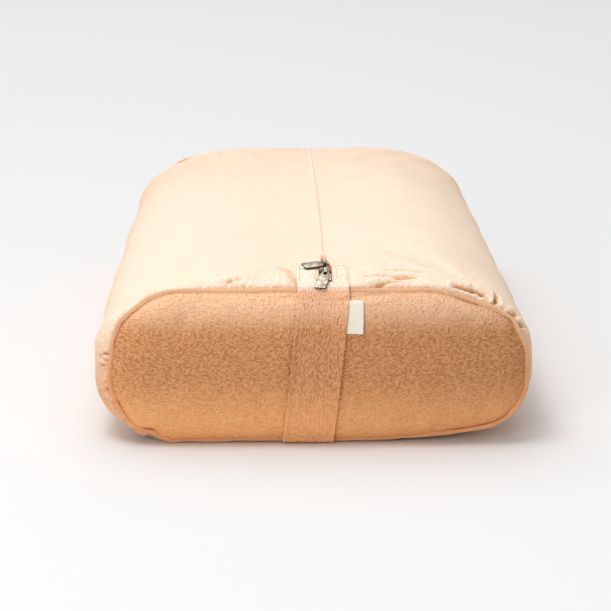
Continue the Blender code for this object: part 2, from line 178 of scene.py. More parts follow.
def setCloth(piece, coordinates):
    # the flat cloth's own place in metres, kept as the UV map, so that the weave runs with it
    layer = piece.data.uv_layers[0]
    flat = np.ascontiguousarray(coordinates[cornerPoints(piece)], dtype=np.float32)
    layer.data.foreach_set("uv", flat.ravel())


def readCloth(piece):
    coordinates = np.zeros((len(piece.data.vertices), 2))
    coordinates[cornerPoints(piece)] = readAll(piece.data.uv_layers[0].data, "uv", 2, np.float32)
    return coordinates


def setShares(piece, domain, **shares):
    # numbers from 0 to 1 that the material reads
    for name, values in shares.items():
        layer = piece.data.attributes.new(name, "FLOAT", domain)
        layer.data.foreach_set("value", values.astype(np.float32))


def flatGrid(name, columns, rows):
    # a flat grid, and each point's share of its width and height
    selectNone()
    bpy.ops.mesh.primitive_grid_add(x_subdivisions=columns, y_subdivisions=rows, size=1)
    piece = bpy.context.object
    piece.name = name
    piece.data.name = name
    return piece, readPoints(piece)[:, :2] + 0.5


def selectFaces(piece, wanted):
    # wanted is a true or false for each face
    selectOnly(piece)
    bpy.ops.object.mode_set(mode="EDIT")
    bpy.ops.mesh.select_mode(type="FACE")
    bpy.ops.mesh.select_all(action="DESELECT")
    bpy.ops.object.mode_set(mode="OBJECT")
    piece.data.polygons.foreach_set("select", np.asarray(wanted, dtype=bool))
    bpy.ops.object.mode_set(mode="EDIT")


def faceCentres(piece):
    return readAll(piece.data.polygons, "center", 3)


def refine(piece, wanted):
    # finer faces on the outer side, which has the first slot
    selectFaces(piece, wanted & (readAll(piece.data.polygons, "material_index", 1, np.int32) == 0))
    bpy.ops.mesh.subdivide(number_cuts=1)
    bpy.ops.object.mode_set(mode="OBJECT")


def placeOnBody(piece, body, slotName, material, *replacedNodes):
    piece.data.materials.clear()
    piece.data.materials.append(material)
    if replacedNodes:
        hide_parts(*replacedNodes)
    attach(piece, body)


def ramp(values, low, high):
    # 0 at low, 1 at high, eased at both
    share = np.clip((values - low) / (high - low), 0, 1)
    return share * share * (3 - 2 * share)


def noiseAt(points, size, seed):
    # size is the width of one lump; points have three columns
    shift = Vector((seed * 3.7, seed * 1.3, seed * 2.1))
    return np.array([noise.noise(Vector(point) / size + shift) for point in points])


def treeOf(piece):
    return BVHTree.FromObject(piece, bpy.context.evaluated_depsgraph_get())


def stepsAlong(path):
    # how far along the line each of its points lies
    return np.r_[0, np.cumsum(np.linalg.norm(np.diff(path, axis=0), axis=1))]


def pointsAt(path, steps, at):
    return np.column_stack([np.interp(at, steps, column) for column in path.T])


def evenPoints(path, shares):
    # points at the given shares of the path's length
    steps = stepsAlong(path)
    return pointsAt(path, steps, shares * steps[-1])


def distanceTo(line, points):
    # from each point to a line of (x, z) places that lie close together
    places = KDTree(len(line))
    for i, (x, z) in enumerate(line):
        places.insert((x, 0, z), i)
    places.balance()
    return np.array([places.find((x, 0, z))[2] for x, _, z in points])


topFrom = 0.09  # above this height a point lies on the cover's top
farUp = 0.3  # heights and distances from which everything is looked at
farOut = 0.5

# camera, fitted to the photograph's frame

camera = {"place": (-0.031, -1.7935, 0.4525), "down": 13.21, "turn": 0.94, "lens": 126.64}

bpy.ops.object.camera_add(
    location=camera["place"],
    rotation=(math.radians(90 - camera["down"]), 0, -math.radians(camera["turn"])),
)
cameraObject = bpy.context.object
cameraObject.name = "photoCamera"
cameraObject.data.lens = camera["lens"]
cameraObject.data.sensor_width = 36
cameraObject.data.clip_end = 60
bpy.context.scene.camera = cameraObject
print("camera placed")


# materials of the cloth

crepe = {
    # cotton crepe, woven with overtwisted yarn and washed: a pebbly matt face that catches raking light
    "pebbleSize": 1.35 * mm,
    "pebbleStretch": 0.66,  # pebbles are longer across the cloth than along it
    "pebbleWander": 0.9,
    "yarnSize": 0.9 * mm,  # real yarns lie 0.5 mm apart, drawn coarser so that they show
    "yarnShare": 0.36,
    "slubPitch": 1.6 * mm,
    "slubShare": 0.07,
    "slubWander": 6.0,
    "cloudSize": 70 * mm,
    "cloudDepth": 0.05,
    "stops": (0.38, 0.50, 0.62),  # heights of the pits, the middle and the crowns; the pits are drawn darker and the crowns paler, a painted shade and highlight
    # painted shade: the dark brown that the deep creases take
    "paintedCreaseShade": "#A66F45",
    "shadeFrom": -0.06,  # x where the side shade begins, and where it is full
    "shadeFull": 0.13,
    "pressed": 0.3,
    "roughness": 0.92,
}


def crepeCotton(name, colours, bumpHeight, sheen, paintedByHeight=(), sunned=None, rightShade=0.0, calmAbove=1.0):
    # colours go from the pits of the crepe to its crowns, the pits darker as a painted shade; the height-bound
    # colours list other such colours, each with the height where it begins and where it has taken over, a painted
    # light and shade that change with height; the mesh-bound ones are paler colours that the mesh itself gives a
    # share, a painted highlight; rightShade darkens what lies to the right, a painted shade, and above calmAbove the
    # cloth is pressed flatter
    material, add, shader, place = newMaterial(name)
    spot = add("SeparateXYZ", {"Vector": place["Object"]}).outputs
    size = crepe["pebbleSize"]
    stretched = add("Mapping", {"Vector": place["UV"], "Scale": (crepe["pebbleStretch"], 1.0, 1.0)}, "Vector")
    wander = add("TexNoise", {"Vector": stretched, "Scale": 0.6 / size, "Detail": 1.0}, "Color")
    bent = add(
        "VectorMath", {0: wander, 1: (crepe["pebbleWander"] * size,) * 3, 2: stretched}, "Vector",
        operation="MULTIPLY_ADD",
    )
    cells = add(
        "TexVoronoi", {"Vector": bent, "Scale": 1 / size, "Smoothness": 1.0, "Randomness": 1.0}, "Distance",
        feature="SMOOTH_F1",
    )
    pebbles = add(
        "MapRange", {"Value": cells, "From Min": 0.15, "From Max": 0.75, "To Min": 0.85, "To Max": 0.15}, "Result",
    )
    yarns = add("TexNoise", {
        "Vector": stretched, "Scale": 1 / crepe["yarnSize"], "Detail": 1.0, "Roughness": 0.5, "Distortion": 0.3,
    }, "Fac")
    slubs = add("TexWave", {
        "Vector": place["UV"], "Scale": 0.314 / crepe["slubPitch"], "Distortion": crepe["slubWander"],
        "Detail": 2.0, "Detail Scale": 1.4,
    }, "Fac", bands_direction="Y")
    clouds = add(
        "TexNoise", {"Vector": place["Object"], "Scale": 1 / crepe["cloudSize"], "Detail": 3.0, "Roughness": 0.6},
        "Fac",
    )
    fine = add("Mix", {"Factor": crepe["yarnShare"], "A": pebbles, "B": yarns}, "Result", data_type="FLOAT")
    height = add("Mix", {"Factor": crepe["slubShare"], "A": fine, "B": slubs}, "Result", data_type="FLOAT")
    layers = [(colours, None)]
    for otherColours, begins, full in paintedByHeight:
        share = add("MapRange", {
            "Value": spot["Z"], "From Min": min(begins, full), "From Max": max(begins, full),
            "To Min": float(full < begins), "To Max": float(full > begins),
        }, "Result", interpolation_type="SMOOTHSTEP")
        layers.append((otherColours, share))
    # painted light: paler colours where the mesh gives them a share
    if sunned:
        layers.append((sunned, add("Attribute", {}, "Fac", attribute_name="sunned")))
    tint = None
    for threeColours, share in layers:
        shade = add("ValToRGB", {"Fac": height}, "Color", zip(crepe["stops"], threeColours))
        if tint:
            shade = add("Mix", {"Factor": share, "A": tint, "B": shade}, "Result", data_type="RGBA")
        tint = shade
    # painted shade: where the mesh marks deep creases, a dark colour is mixed in
    if sunned:
        depth = add("Attribute", {}, "Fac", attribute_name="creased")
        creaseShadeColour = linearColour(crepe["paintedCreaseShade"])
        tint = add("Mix", {"Factor": depth, "A": tint, "B": creaseShadeColour}, "Result", data_type="RGBA")
    cloudTint = add("ValToRGB", {"Fac": clouds}, "Color", ((0.3, 1 - crepe["cloudDepth"]), (0.7, 1.0)))
    tinted = add(
        "Mix", {"Factor": 1.0, "A": tint, "B": cloudTint}, "Result", data_type="RGBA", blend_type="MULTIPLY",
    )
    calm = add("MapRange", {
        "Value": spot["Z"], "From Min": calmAbove - 2 * mm, "From Max": calmAbove,
        "To Min": 1.0, "To Max": crepe["pressed"],
    }, "Result")
    toRight = add("MapRange", {
        "Value": spot["X"], "From Min": crepe["shadeFrom"], "From Max": crepe["shadeFull"],
        "To Min": 1.0, "To Max": 1.0 - rightShade,
    }, "Result", interpolation_type="SMOOTHSTEP")
    feed(shader, {
        "Base Color": add("VectorMath", {"Vector": tinted, "Scale": toRight}, "Vector", operation="SCALE"),
        "Normal": add("Bump", {"Height": height, "Strength": calm, "Distance": bumpHeight}, "Normal"),
        "Roughness": crepe["roughness"], "Specular IOR Level": 0.2, "Sheen Weight": sheen, "Sheen Roughness": 0.5,
    })
    return material


# cover: the outline of the seams, and of the body between them

cover = {
    "frontSeam": -0.2988,
    "length": 0.5976,
    "seamPlane": 0.300,  # both raised seams lie this far from the middle
    "around": 0.842,  # round the body from lip to lip
    "zipX": 8 * mm,
    "lipRound": 1.1 * mm,
    "lipDepth": 1.12 * mm,
    "shoulder": 17.7 * mm,
    "fullness": 1.33,
    # corner radii across and up: top right, bottom right, bottom left, top left
    "seam": {
        "left": -0.1477, "right": 0.1528, "base": 0.0008, "top": 0.1129,
        "corners": ((0.078, 0.048), (0.115, 0.045), (0.050, 0.053), (0.053, 0.057)),
    },
    "body": {
        "left": -0.1583, "right": 0.1578, "base": 0.0, "top": 0.1232,
        "corners": ((0.094, 0.056), (0.086, 0.046), (0.052, 0.045), (0.118, 0.055)),
    },
    "columns": 280,
    "rows": 96,
    "endCrowding": 0.75,
    "panelColumns": 112,
    "panelRows": 46,
    "panelCrowding": 0.7,
    "panelBulge": 7 * mm,
    "panelFullness": 2.6,
}

# the body's cotton, with paler colours as a painted highlight where the mesh gives them a share
coverMaterial = crepeCotton(
    "cottonCrepeBody", ("#DE9C6C", "#E9AE7F", "#F2C297"), 0.5 * mm, 0.15,
    sunned=("#F3DABD", "#F9E3CB", "#FBE9D6"),
)
# the end panel: the body's cotton drawn darker, a painted shade; painted light pales its top and brightens it near
# the floor, and a painted shade darkens its right side
panelMaterial = crepeCotton(
    "cottonCrepeEndPanel", ("#C68350", "#D79561", "#E5A877"), 2.3 * mm, 0.0, rightShade=0.1,
    paintedByHeight=((("#FFC497", "#FFCAA1", "#FFD0AA"), 0.080, 0.106), (("#FFB272", "#FFB87A", "#FFBE83"), 0.058, 0.014)),
)
# the strap: painted light pales it towards the top and brightens it near the floor, and its lap on the top is drawn
# pale like the lit top
strapMaterial = crepeCotton(
    "cottonCrepeStrap", ("#C68451", "#D69563", "#E6AA7D"), 2.3 * mm, 0.0, calmAbove=0.1175,
    paintedByHeight=(
        (("#FFBC92", "#FFC39B", "#FFCBA5"), 0.084, 0.106), (("#FCAE71", "#FDB57A", "#FEBC83"), 0.056, 0.014),
        (("#F3DCC2", "#F9E8D4", "#FCEEDF"), 0.1125, 0.1165),
    ),
)
# the seam edge: painted light pales it higher up
edgeMaterial = crepeCotton(
    "cottonCrepeSeamEdge", ("#EFA26C", "#F8AF7B", "#FFBE8D"), 0.3 * mm, 0.1,
    paintedByHeight=((("#FFC193", "#FFCBA0", "#FFD6AF"), 0.040, 0.105),),
)


def plainFinish(name, colour, dark, roughness, grainSize, bumpHeight):
    material, add, shader, place = newMaterial(name)
    grain = add(
        "TexNoise", {"Vector": place["Object"], "Scale": 1 / grainSize, "Detail": 4.0, "Roughness": 0.6}, "Fac",
    )
    feed(shader, {
        "Base Color": add("ValToRGB", {"Fac": grain}, "Color", ((0.35, dark), (0.62, colour))),
        "Normal": add("Bump", {"Height": grain, "Strength": 0.6, "Distance": bumpHeight}, "Normal"),
        "Roughness": roughness,
    })
    return material


# spun and woven ones are matt with a fine grain, the drawn nylon is smoother and has a soft gleam
threadMaterial = plainFinish("spunPolyesterThread", "#EBD7BF", "#D6BB9C", 0.8, 0.4 * mm, 0.05 * mm)
labelMaterial = plainFinish("wovenPolyesterLabel", "#F3EDE0", "#E0D8C6", 0.75, 0.6 * mm, 0.08 * mm)
tapeMaterial = plainFinish("wovenZipTape", "#FFB78A", "#F0A173", 0.85, 0.6 * mm, 0.08 * mm)
coilMaterial = plainFinish("nylonMonofilamentCoil", "#FFBD92", "#F2A87B", 0.5, 1.1 * mm, 0.02 * mm)
calicoMaterial = plainFinish("unbleachedCalico", "#E8E0CE", "#CFC4AC", 0.9, 0.7 * mm, 0.1 * mm)
fibreMaterial = plainFinish("looseCottonFibre", "#EEE8D8", "#D8CFBA", 1.0, 4 * mm, 1.0 * mm)

# nickel plate on cast zinc, rubbed back in patches: pale on the flat faces; the side walls and edges are drawn black,
# a painted shade
nickel = {"pitSize": 0.9 * mm, "scuffSize": 4 * mm, "dull": "#8F8474", "rubbed": "#D6CAB8", "black": "#3A342C"}


def antiqueNickel(name):
    material, add, shader, place = newMaterial(name)
    pits = add("TexNoise", {
        "Vector": place["Object"], "Scale": 1 / nickel["pitSize"], "Detail": 3.0, "Roughness": 0.6,
    }, "Fac")
    scuffs = add("TexNoise", {
        "Vector": place["Object"], "Scale": 1 / nickel["scuffSize"],
        "Detail": 2.0, "Roughness": 0.5, "Distortion": 1.0,
    }, "Fac")
    tint = add("ValToRGB", {"Fac": scuffs}, "Color", ((0.35, nickel["dull"]), (0.65, nickel["rubbed"])))
    edge = add("NewGeometry", {}, "Pointiness")
    # darker in the casting's hollows, where the pointiness is low
    darkerInHollows = add("ValToRGB", {"Fac": edge}, "Color", ((0.44, 0.35), (0.50, 1.0)))
    tinted = add("Mix", {"Factor": 1.0, "A": tint, "B": darkerInHollows}, "Result", data_type="RGBA", blend_type="MULTIPLY")
    # painted shade on the side walls
    wallShare = add("Attribute", {}, "Fac", attribute_name="blackened")
    feed(shader, {
        "Base Color": add(
            "Mix", {"Factor": wallShare, "A": tinted, "B": linearColour(nickel["black"])}, "Result", data_type="RGBA",
        ),
        "Roughness": add("MapRange", {"Value": pits, "To Min": 0.28, "To Max": 0.5}, "Result"),
        "Normal": add("Bump", {"Height": pits, "Strength": 0.5, "Distance": 0.03 * mm}, "Normal"),
        "Metallic": 1.0,
    })
    return material


metalMaterial = antiqueNickel("antiqueNickelPlateOnZinc")

nodeMaterials = {
    "inner_bag_sleeve": calicoMaterial,
    "inner_bag_front_panel": calicoMaterial,
    "inner_bag_rear_panel": calicoMaterial,
    "fibre_filling": fibreMaterial,
    "zip_tape_left": tapeMaterial,
    "zip_tape_right": tapeMaterial,
    "zip_front_stop": metalMaterial,
    "zip_rear_stop": metalMaterial,
}
for nodeName, material in nodeMaterials.items():
    data = frame["nodes"][nodeName].data
    data.materials.clear()
    data.materials.append(material)
print("materials made")


def cornerArc(cut, index):
    across, up = cut["corners"][index]
    centreX = cut["right"] - across if index in (0, 1) else cut["left"] + across
    centreZ = cut["top"] - up if index in (0, 3) else cut["base"] + up
    angles = np.radians(np.linspace(90 * index, 90 * (index + 1), 40))
    return np.column_stack((centreX + across * np.sin(angles), centreZ + up * np.cos(angles)))


def wrapPath(cut):
    # from deep in the right lip, over the top, round the body and down into the left lip
    fold = cover["lipRound"]
    angles = np.radians(np.linspace(-90, 0, 8))
    lip = np.column_stack((cover["zipX"] + fold + fold * np.sin(angles), cut["top"] - fold + fold * np.cos(angles)))
    start = np.array([[cover["zipX"], cut["top"] - cover["lipDepth"]]])
    right = np.vstack((start, lip))
    left = right[::-1].copy()
    left[:, 0] = 2 * cover["zipX"] - left[:, 0]
    return np.vstack((right, *[cornerArc(cut, index) for index in range(4)], left))


def swellAt(distance):
    # 0 at a seam, 1 where the body has its full size
    nearest = np.minimum(distance, cover["length"] - distance)
    short = 1 - np.clip(nearest / cover["shoulder"], 0, 1)
    return (1 - short ** cover["fullness"]) ** (1 / cover["fullness"])


def crowd(share, amount):
    # even shares pushed closer together at both ends
    return share - amount * np.sin(2 * np.pi * share) / (2 * np.pi)


def roundShares(share):
    # columns lie closest at the lips of the zip and furthest apart underneath
    fine = np.linspace(0, 1, 2001)
    fromLip = np.minimum(fine, 1 - fine) * cover["around"]
    density = 0.4 + 0.75 * ramp(np.abs(fine - 0.5), 0.09, 0.17) + 2.4 * np.exp(-(fromLip / (9 * mm)) ** 2)
    total = np.cumsum(density)
    return np.interp(share, (total - total[0]) / (total[-1] - total[0]), fine)


bodyPiece, bodyGrid = flatGrid("cottonCoverBody", cover["columns"], cover["rows"])
aroundShare = roundShares(bodyGrid[:, 0])
alongCover = crowd(bodyGrid[:, 1], cover["endCrowding"]) * cover["length"]
grown = swellAt(alongCover)[:, None]
wrapped = evenPoints(wrapPath(cover["seam"]), aroundShare) * (1 - grown)
wrapped += evenPoints(wrapPath(cover["body"]), aroundShare) * grown
bodyPoints = np.column_stack((wrapped[:, 0], cover["frontSeam"] + alongCover, wrapped[:, 1]))
writePoints(bodyPiece, bodyPoints)
setCloth(bodyPiece, np.column_stack((aroundShare * cover["around"], alongCover)))
print("cover body wrapped:", len(bodyPiece.data.vertices), "points")


# end panels

def rimPath(cut):
    # the seam as one loop, from the middle of the top right corner round to where it starts
    arcs = [cornerArc(cut, index) for index in range(4)]
    return np.vstack((arcs[0][20:], *arcs[1:], arcs[0][:21]))


def panelPoints(grid, end):
    # four stretches of the seam, corner middle to corner middle, span the panel between them
    path = rimPath(cover["seam"])
    steps = stepsAlong(path)
    marks = [0]
    for index in (1, 2, 3):
        middle = cornerArc(cover["seam"], index)[20]
        marks.append(steps[np.argmin(np.linalg.norm(path - middle, axis=1))])
    marks.append(steps[-1])

    def side(index, share):
        return pointsAt(path, steps, marks[index] + (marks[index + 1] - marks[index]) * share)

    across = crowd(grid[:, 0], cover["panelCrowding"])
    up = crowd(grid[:, 1], cover["panelCrowding"])
    right, base, left, top = side(0, 1 - up), side(1, 1 - across), side(2, up), side(3, across)
    topRight, baseRight, baseLeft, topLeft = [side(index, 1.0)[0] for index in (3, 0, 1, 2)]
    a, u = across[:, None], up[:, None]
    flat = base * (1 - u) + top * u + left * (1 - a) + right * a
    flat -= baseLeft * (1 - a) * (1 - u) + baseRight * a * (1 - u) + topLeft * (1 - a) * u + topRight * a * u
    rise = 1 - np.abs(2 * across - 1) ** 6
    rise *= 1 - np.abs(2 * up - 1) ** cover["panelFullness"]
    out = cover["seamPlane"] + cover["panelBulge"] * rise
    return np.column_stack((flat[:, 0], end * out, flat[:, 1])), across, up


panelPieces = {}
for end, word in ((-1, "Front"), (1, "Rear")):
    panelPiece, panelGrid = flatGrid("cottonEndPanel" + word, cover["panelColumns"], cover["panelRows"])
    shaped, panelAcross, panelUp = panelPoints(panelGrid, end)
    writePoints(panelPiece, shaped)
    setCloth(panelPiece, shaped[:, [0, 2]])
    turnTowards(panelPiece, 0, end, 0)
    panelPieces[end] = panelPiece
print("end panels shaped")


# cloth simulation: the filling blows the cover up a little, and there is slack cotton along its seams

puff = {
    "frames": 20,
    "weight": 0.25,
    "stretchiness": 25,
    "shear": 10,
    "bending": 4,
    "bodyPressure": 1.2,
    "bodyCap": 2.2 * mm,
    "bodySlack": 0.05,
    "bodySlackReach": 40 * mm,
    "panelPressure": 3.0,
    "panelCap": 4 * mm,
    "panelSlack": 0.02,
    "evenSlack": 0.004,
    "zipEnds": 0.285,  # the cloth stays where it is along the zip, where the sliders and tabs pass
    "zipReach": (22 * mm, 60 * mm),
}


def fromZip(points):
    return np.hypot(points[:, 0], np.maximum(np.abs(points[:, 1]) - puff["zipEnds"], 0))


def puffCloth(piece, held, slack, slackMost, pressure, cap):
    # held and slack give each point's weight from 0 to 1, and cap how far it may move
    start = readPoints(piece)
    for groupName, weights in (("held", held), ("slack", slack)):
        group = piece.vertex_groups.new(name=groupName)
        for level in np.unique(np.round(weights, 2)):
            if level > 0:
                group.add(np.flatnonzero(np.round(weights, 2) == level).tolist(), float(level), "REPLACE")
    selectOnly(piece)
    cloth = piece.modifiers.new("Cloth", "CLOTH")
    settings = cloth.settings
    settings.quality = 5
    settings.mass = puff["weight"]
    settings.tension_stiffness = settings.compression_stiffness = puff["stretchiness"]
    settings.shear_stiffness = puff["shear"]
    settings.bending_stiffness = puff["bending"]
    settings.vertex_group_mass = "held"
    settings.vertex_group_shrink = "slack"
    settings.shrink_min = -puff["evenSlack"]
    settings.shrink_max = -slackMost
    settings.use_pressure = True
    settings.uniform_pressure_force = pressure
    settings.effector_weights.gravity = 0
    cloth.collision_settings.use_collision = False
    cloth.point_cache.frame_start = 1
    cloth.point_cache.frame_end = puff["frames"]
    for step in range(1, puff["frames"] + 1):
        bpy.context.scene.frame_set(step)
    bpy.ops.object.modifier_apply(modifier=cloth.name)
    bpy.context.scene.frame_set(1)
    piece.vertex_groups.clear()
    moved = readPoints(piece) - start
    lengths = np.maximum(np.linalg.norm(moved, axis=1), 1e-9)
    cap = np.maximum(cap, 1e-6)
    writePoints(piece, start + moved * (cap * np.tanh(lengths / cap) / lengths)[:, None])
    print(piece.name, "puffed, most moved", round(float(lengths.max()) / mm, 1), "mm")


fromSeam = np.minimum(alongCover, cover["length"] - alongCover)
fromLip = np.minimum(aroundShare, 1 - aroundShare) * cover["around"]
onFloor = bodyPoints[:, 2] < 0.4 * mm
bodyHeld = np.where((fromSeam < 0.6 * mm) | (fromLip < 5 * mm) | onFloor, 1.0, 0.0)
bodySlack = np.clip(1 - fromSeam / puff["bodySlackReach"], 0, 1)
freed = np.where(bodyPoints[:, 2] > topFrom, ramp(fromZip(bodyPoints), *puff["zipReach"]), 1.0)
puffCloth(bodyPiece, bodyHeld, bodySlack, puff["bodySlack"], puff["bodyPressure"], puff["bodyCap"] * freed)
for panelPiece in panelPieces.values():
    rim = np.min((panelAcross, 1 - panelAcross, panelUp, 1 - panelUp), axis=0)
    panelHeld = np.where(rim < 1e-4, 1.0, 0.0)
    puffCloth(
        panelPiece, panelHeld, np.ones(len(rim)), puff["panelSlack"], puff["panelPressure"], puff["panelCap"],
    )


# walls, and finer faces where the seams are gathered

sewing = {
    "wall": 1.0 * mm,
    "gatherZone": 24 * mm,
    "pleatZone": 10 * mm,
    "grooveDepth": 2.8 * mm,
    "grooveReach": 1.5 * mm,
    "roll": 0.8 * mm,
    "rollAt": 3.2 * mm,
    "rollWidth": 1.6 * mm,
    "rimBack": 1.4 * mm,
    "rimRound": 8.5 * mm,
    "rimRoundReach": 5.0 * mm,
    "footRoundMore": 2.0 * mm,
    "footLift": 0.4 * mm,
    "footLiftReach": 12 * mm,
    "rimPull": 1.5 * mm,
    "rimPullReach": 2.0 * mm,
    "waver": 0.7 * mm,
    "waverLength": 24 * mm,
    "waverReach": 14 * mm,
    "lumps": 1.4 * mm,
    "lumpLength": 60 * mm,
    # where the lumps come in: behind the seam, above the floor, beside the lips and away from the sliders
    "lumpZones": ((5 * mm, 50 * mm), (4 * mm, 30 * mm), (6 * mm, 35 * mm), (20 * mm, 45 * mm)),
    "gatherLength": 4.2 * mm,
    "gatherReach": 8 * mm,
    "gatherLeast": 0.3 * mm,
    "gatherMore": (2, 0.9),  # on the cover behind the front seam and behind the rear one
    "stillLips": (3 * mm, 14 * mm),  # beside the lips the gathers die out
    "panelLumps": 0.9 * mm,
    "panelLumpLength": 55 * mm,
    "panelGatherReach": 5 * mm,
    "topShut": 0.6,  # how far the groove is pressed shut along the top, between the corners
    "topCorner": (78 * mm, 112 * mm),
    "rearShut": 0.75,  # and at the far end above these heights
    "rearShutFrom": (70 * mm, 92 * mm),
}
spine = {"left": -0.095, "right": 0.098, "height": 0.058}

# where the seam is gathered most: x, z, how much more, over what length, in millimetres
gatherSpots = (
    (-149, 50, 0.9, 26), (-128, 14, 1.0, 18), (-115, 110, 0.8, 14), (108, 110, 0.3, 16), (132, 97, 0.4, 14),
    (148, 80, 1.0, 16), (40, 113, 0.5, 20), (-30, 113, 0.4, 18), (150, 40, 0.5, 20),
)

# where the seam is drawn in or let out: x, z, how far outward, over what length, in millimetres
seamShifts = (
    (-117, 9, -4.2, 6), (-133, 17, 1.0, 9), (-104, 3, 0.8, 8), (132, 15, 5.4, 22), (112, 104, -2.4, 12),
    (141, 91, 1.2, 6), (149, 78, -1.0, 8), (-146, 62, -1.0, 10), (-139, 89, 0.8, 8),
)

# single folds that run back from the front seam: x and z on the seam, how far back, how far aside, depth, half width
seamFolds = (
    (-151, 66, 8, 1, 1.6, 1.2), (-151, 61, 9, 2, 1.9, 1.2), (-150.5, 53, 6, 1, 0.9, 1.0),
    (-150, 39, 7, 1.5, 1.7, 1.2),
    (-143, 25, 7, 1, 1.0, 1.3), (-123, 11.5, 12, 1, 3.2, 2.2), (-112, 110.5, 11, 8, 2.6, 1.6),
    (-64, 113.5, 9, 9, 1.1, 1.5), (-51, 113.5, 8, 8, 1.0, 1.4), (-82, 113, 6, 5, 0.6, 1.5),
    (-10.5, 113, 46, -21, 0.9, 4.5), (39.5, 113, 16, 42, 1.1, 2.4), (34, 113, 8, 40, 0.9, 1.8),
    (94, 112.9, 7, 9, 1.2, 1.5), (115, 108.5, 6, 8, 1.2, 1.6),
    (128, 101, 17, -4, 2.8, 1.5), (139, 92, 12, 5, 3.6, 2.4), (148.5, 83, 10, -7, 3.4, 1.6),
    (152.5, 61, 8, 2, 2.0, 1.3),
)

# folds along the front seam and behind it: x, z on the seam and distance behind it of both ends, depth, half width
bodyFolds = (
    (99, 113, 6.5, 120, 106.5, 6, 3.4, 2.1), (111, 110, 9, 125, 103, 4.5, 2.2, 1.6),
    (126, 102, 15, 130, 99, 1.5, 3.0, 1.6), (132, 98.5, 3, 144, 87, 3, 2.6, 1.3),
    (143.5, 88, 0.5, 150, 81, 9, 3.6, 1.6), (-119, 107, 11, -107, 112.8, 4.5, 3.0, 1.5),
    (-151, 66, 3, -150, 63, 9, 1.8, 1.1), (-151, 58, 2.5, -150, 56, 8, 2.2, 1.2),
    (-150, 40, 2, -148, 36, 8, 2.2, 1.3), (-112, 6, 1, -118, 10, 12, 3.4, 2.0),
    (36, 113.5, 12, 72, 113, 9, 1.2, 1.5), (44, 113.5, 19, 82, 113, 16, 0.9, 1.8),
    (-66, 113.5, 5, -50, 113.5, 8, 1.0, 1.2), (57, 113.2, 4.5, 70, 113, 5.5, 0.8, 1.0),
)

# folds on the front end panel: x and z of both ends, depth, half width, in millimetres
panelFolds = (
    (25, 108.5, 52, 110, 1.9, 1.7), (-13, 108, -27, 107.5, 1.3, 1.6), (36, 96, 66, 87, 0.5, 4.0),
    (-98, 108, -92, 90, 0.6, 3.2), (95, 108, 84, 92, 0.7, 3.0), (120, 98, 100, 84, 0.5, 3.5),
    (-40, 108, -46, 94, 0.4, 3.0), (146, 62, 134, 58, 0.6, 2.2), (-143, 66, -128, 62, 0.5, 2.4),
)

zipLook = {
    "halfGap": 1.05 * mm,  # the sliders' crowns are 2 mm wide
    "openHalfGap": 4.4 * mm,
    "shutHalfGap": 0.1 * mm,
    "openFull": 30 * mm,  # behind the front seam, where the sliders hold the lips apart
    "openEnds": 72 * mm,
    "frontEnd": 5 * mm,
    "rearEnd": 16 * mm,
    "lipReach": 10 * mm,
}
lapPress = {
    "half": 18.5 * mm, "front": (6.2 * mm, 38 * mm), "rear": (8 * mm, 20 * mm), "depth": 1.1 * mm, "soft": 3 * mm,
}


def giveWall(piece):
    # the inner faces get the second slot, to be told apart from the outer ones
    for slotMaterial in (coverMaterial, coverMaterial):
        piece.data.materials.append(slotMaterial)
    thicken(piece, sewing["wall"], -1).material_offset = 1
    applyModifiers(piece)


def finishCloth(piece, points):
    writePoints(piece, points)
    piece.data.shade_smooth()
    piece.data.polygons.foreach_set("material_index", np.zeros(len(piece.data.polygons), dtype=np.int32))


def outwardFrom(points):
    # away from the bolster's middle, in the plane across it
    nearest = np.clip(points[:, 0], spine["left"], spine["right"])
    away = np.column_stack((points[:, 0] - nearest, points[:, 2] - spine["height"]))
    return away / np.maximum(np.linalg.norm(away, axis=1), 1e-6)[:, None]


def nearSpot(points, x, z, length):
    # 1 at a place given in millimetres, 0 well away from it
    return np.exp(-(np.hypot(points[:, 0] - x * mm, points[:, 2] - z * mm) / (length * mm)) ** 2)


def waverSeam(points, away, fromRim):
    # the seam line wanders a little, and what lies near it goes along
    along = np.column_stack((points[:, 0], np.sign(points[:, 1]) * 0.3, points[:, 2]))
    amount = sewing["waver"] * noiseAt(along, sewing["waverLength"], 2) * ramp(points[:, 2], 2 * mm, 12 * mm)
    for x, z, outward, length in seamShifts:
        amount += (points[:, 1] < 0) * outward * mm * nearSpot(points, x, z, length)
    points[:, [0, 2]] += away * (amount * np.exp(-fromRim / sewing["waverReach"]))[:, None]
    lift = sewing["footLift"] * np.exp(-(fromRim / sewing["footLiftReach"]) ** 2)
    points[:, 2] += lift * (1 - ramp(points[:, 2], 3 * mm, 18 * mm))


def seamOpen(points):
    # the groove beside the seam gapes round the corners and is pressed nearly shut along the top,
    # and at the far end round the top corners too
    onTop = (points[:, 2] > topFrom) * (1 - ramp(np.abs(points[:, 0]), *sewing["topCorner"]))
    atRear = ramp(points[:, 2], *sewing["rearShutFrom"]) * (points[:, 1] > 0)
    return 1 - np.maximum(sewing["topShut"] * onTop, sewing["rearShut"] * atRear)


def gatherStrength(points):
    extra = [more * mm * nearSpot(points, x, z, length) for x, z, more, length in gatherSpots]
    return sewing["gatherLeast"] + sum(extra)


def foldAt(distance, depth, halfWidth):
    # a valley with a soft raised bank on both sides; depth and half width are in millimetres
    near = distance / (halfWidth * mm)
    return depth * mm * (0.38 * np.exp(-((near - 2.1) / 0.9) ** 2) - np.exp(-near ** 2))


def toSegment(places, start, finish):
    # distance of each place from a straight stretch, and how far along the stretch it lies
    run = finish - start
    share = np.clip((places - start) @ run / (run @ run), 0, 1)
    return np.linalg.norm(places - start - share[:, None] * run, axis=1), share


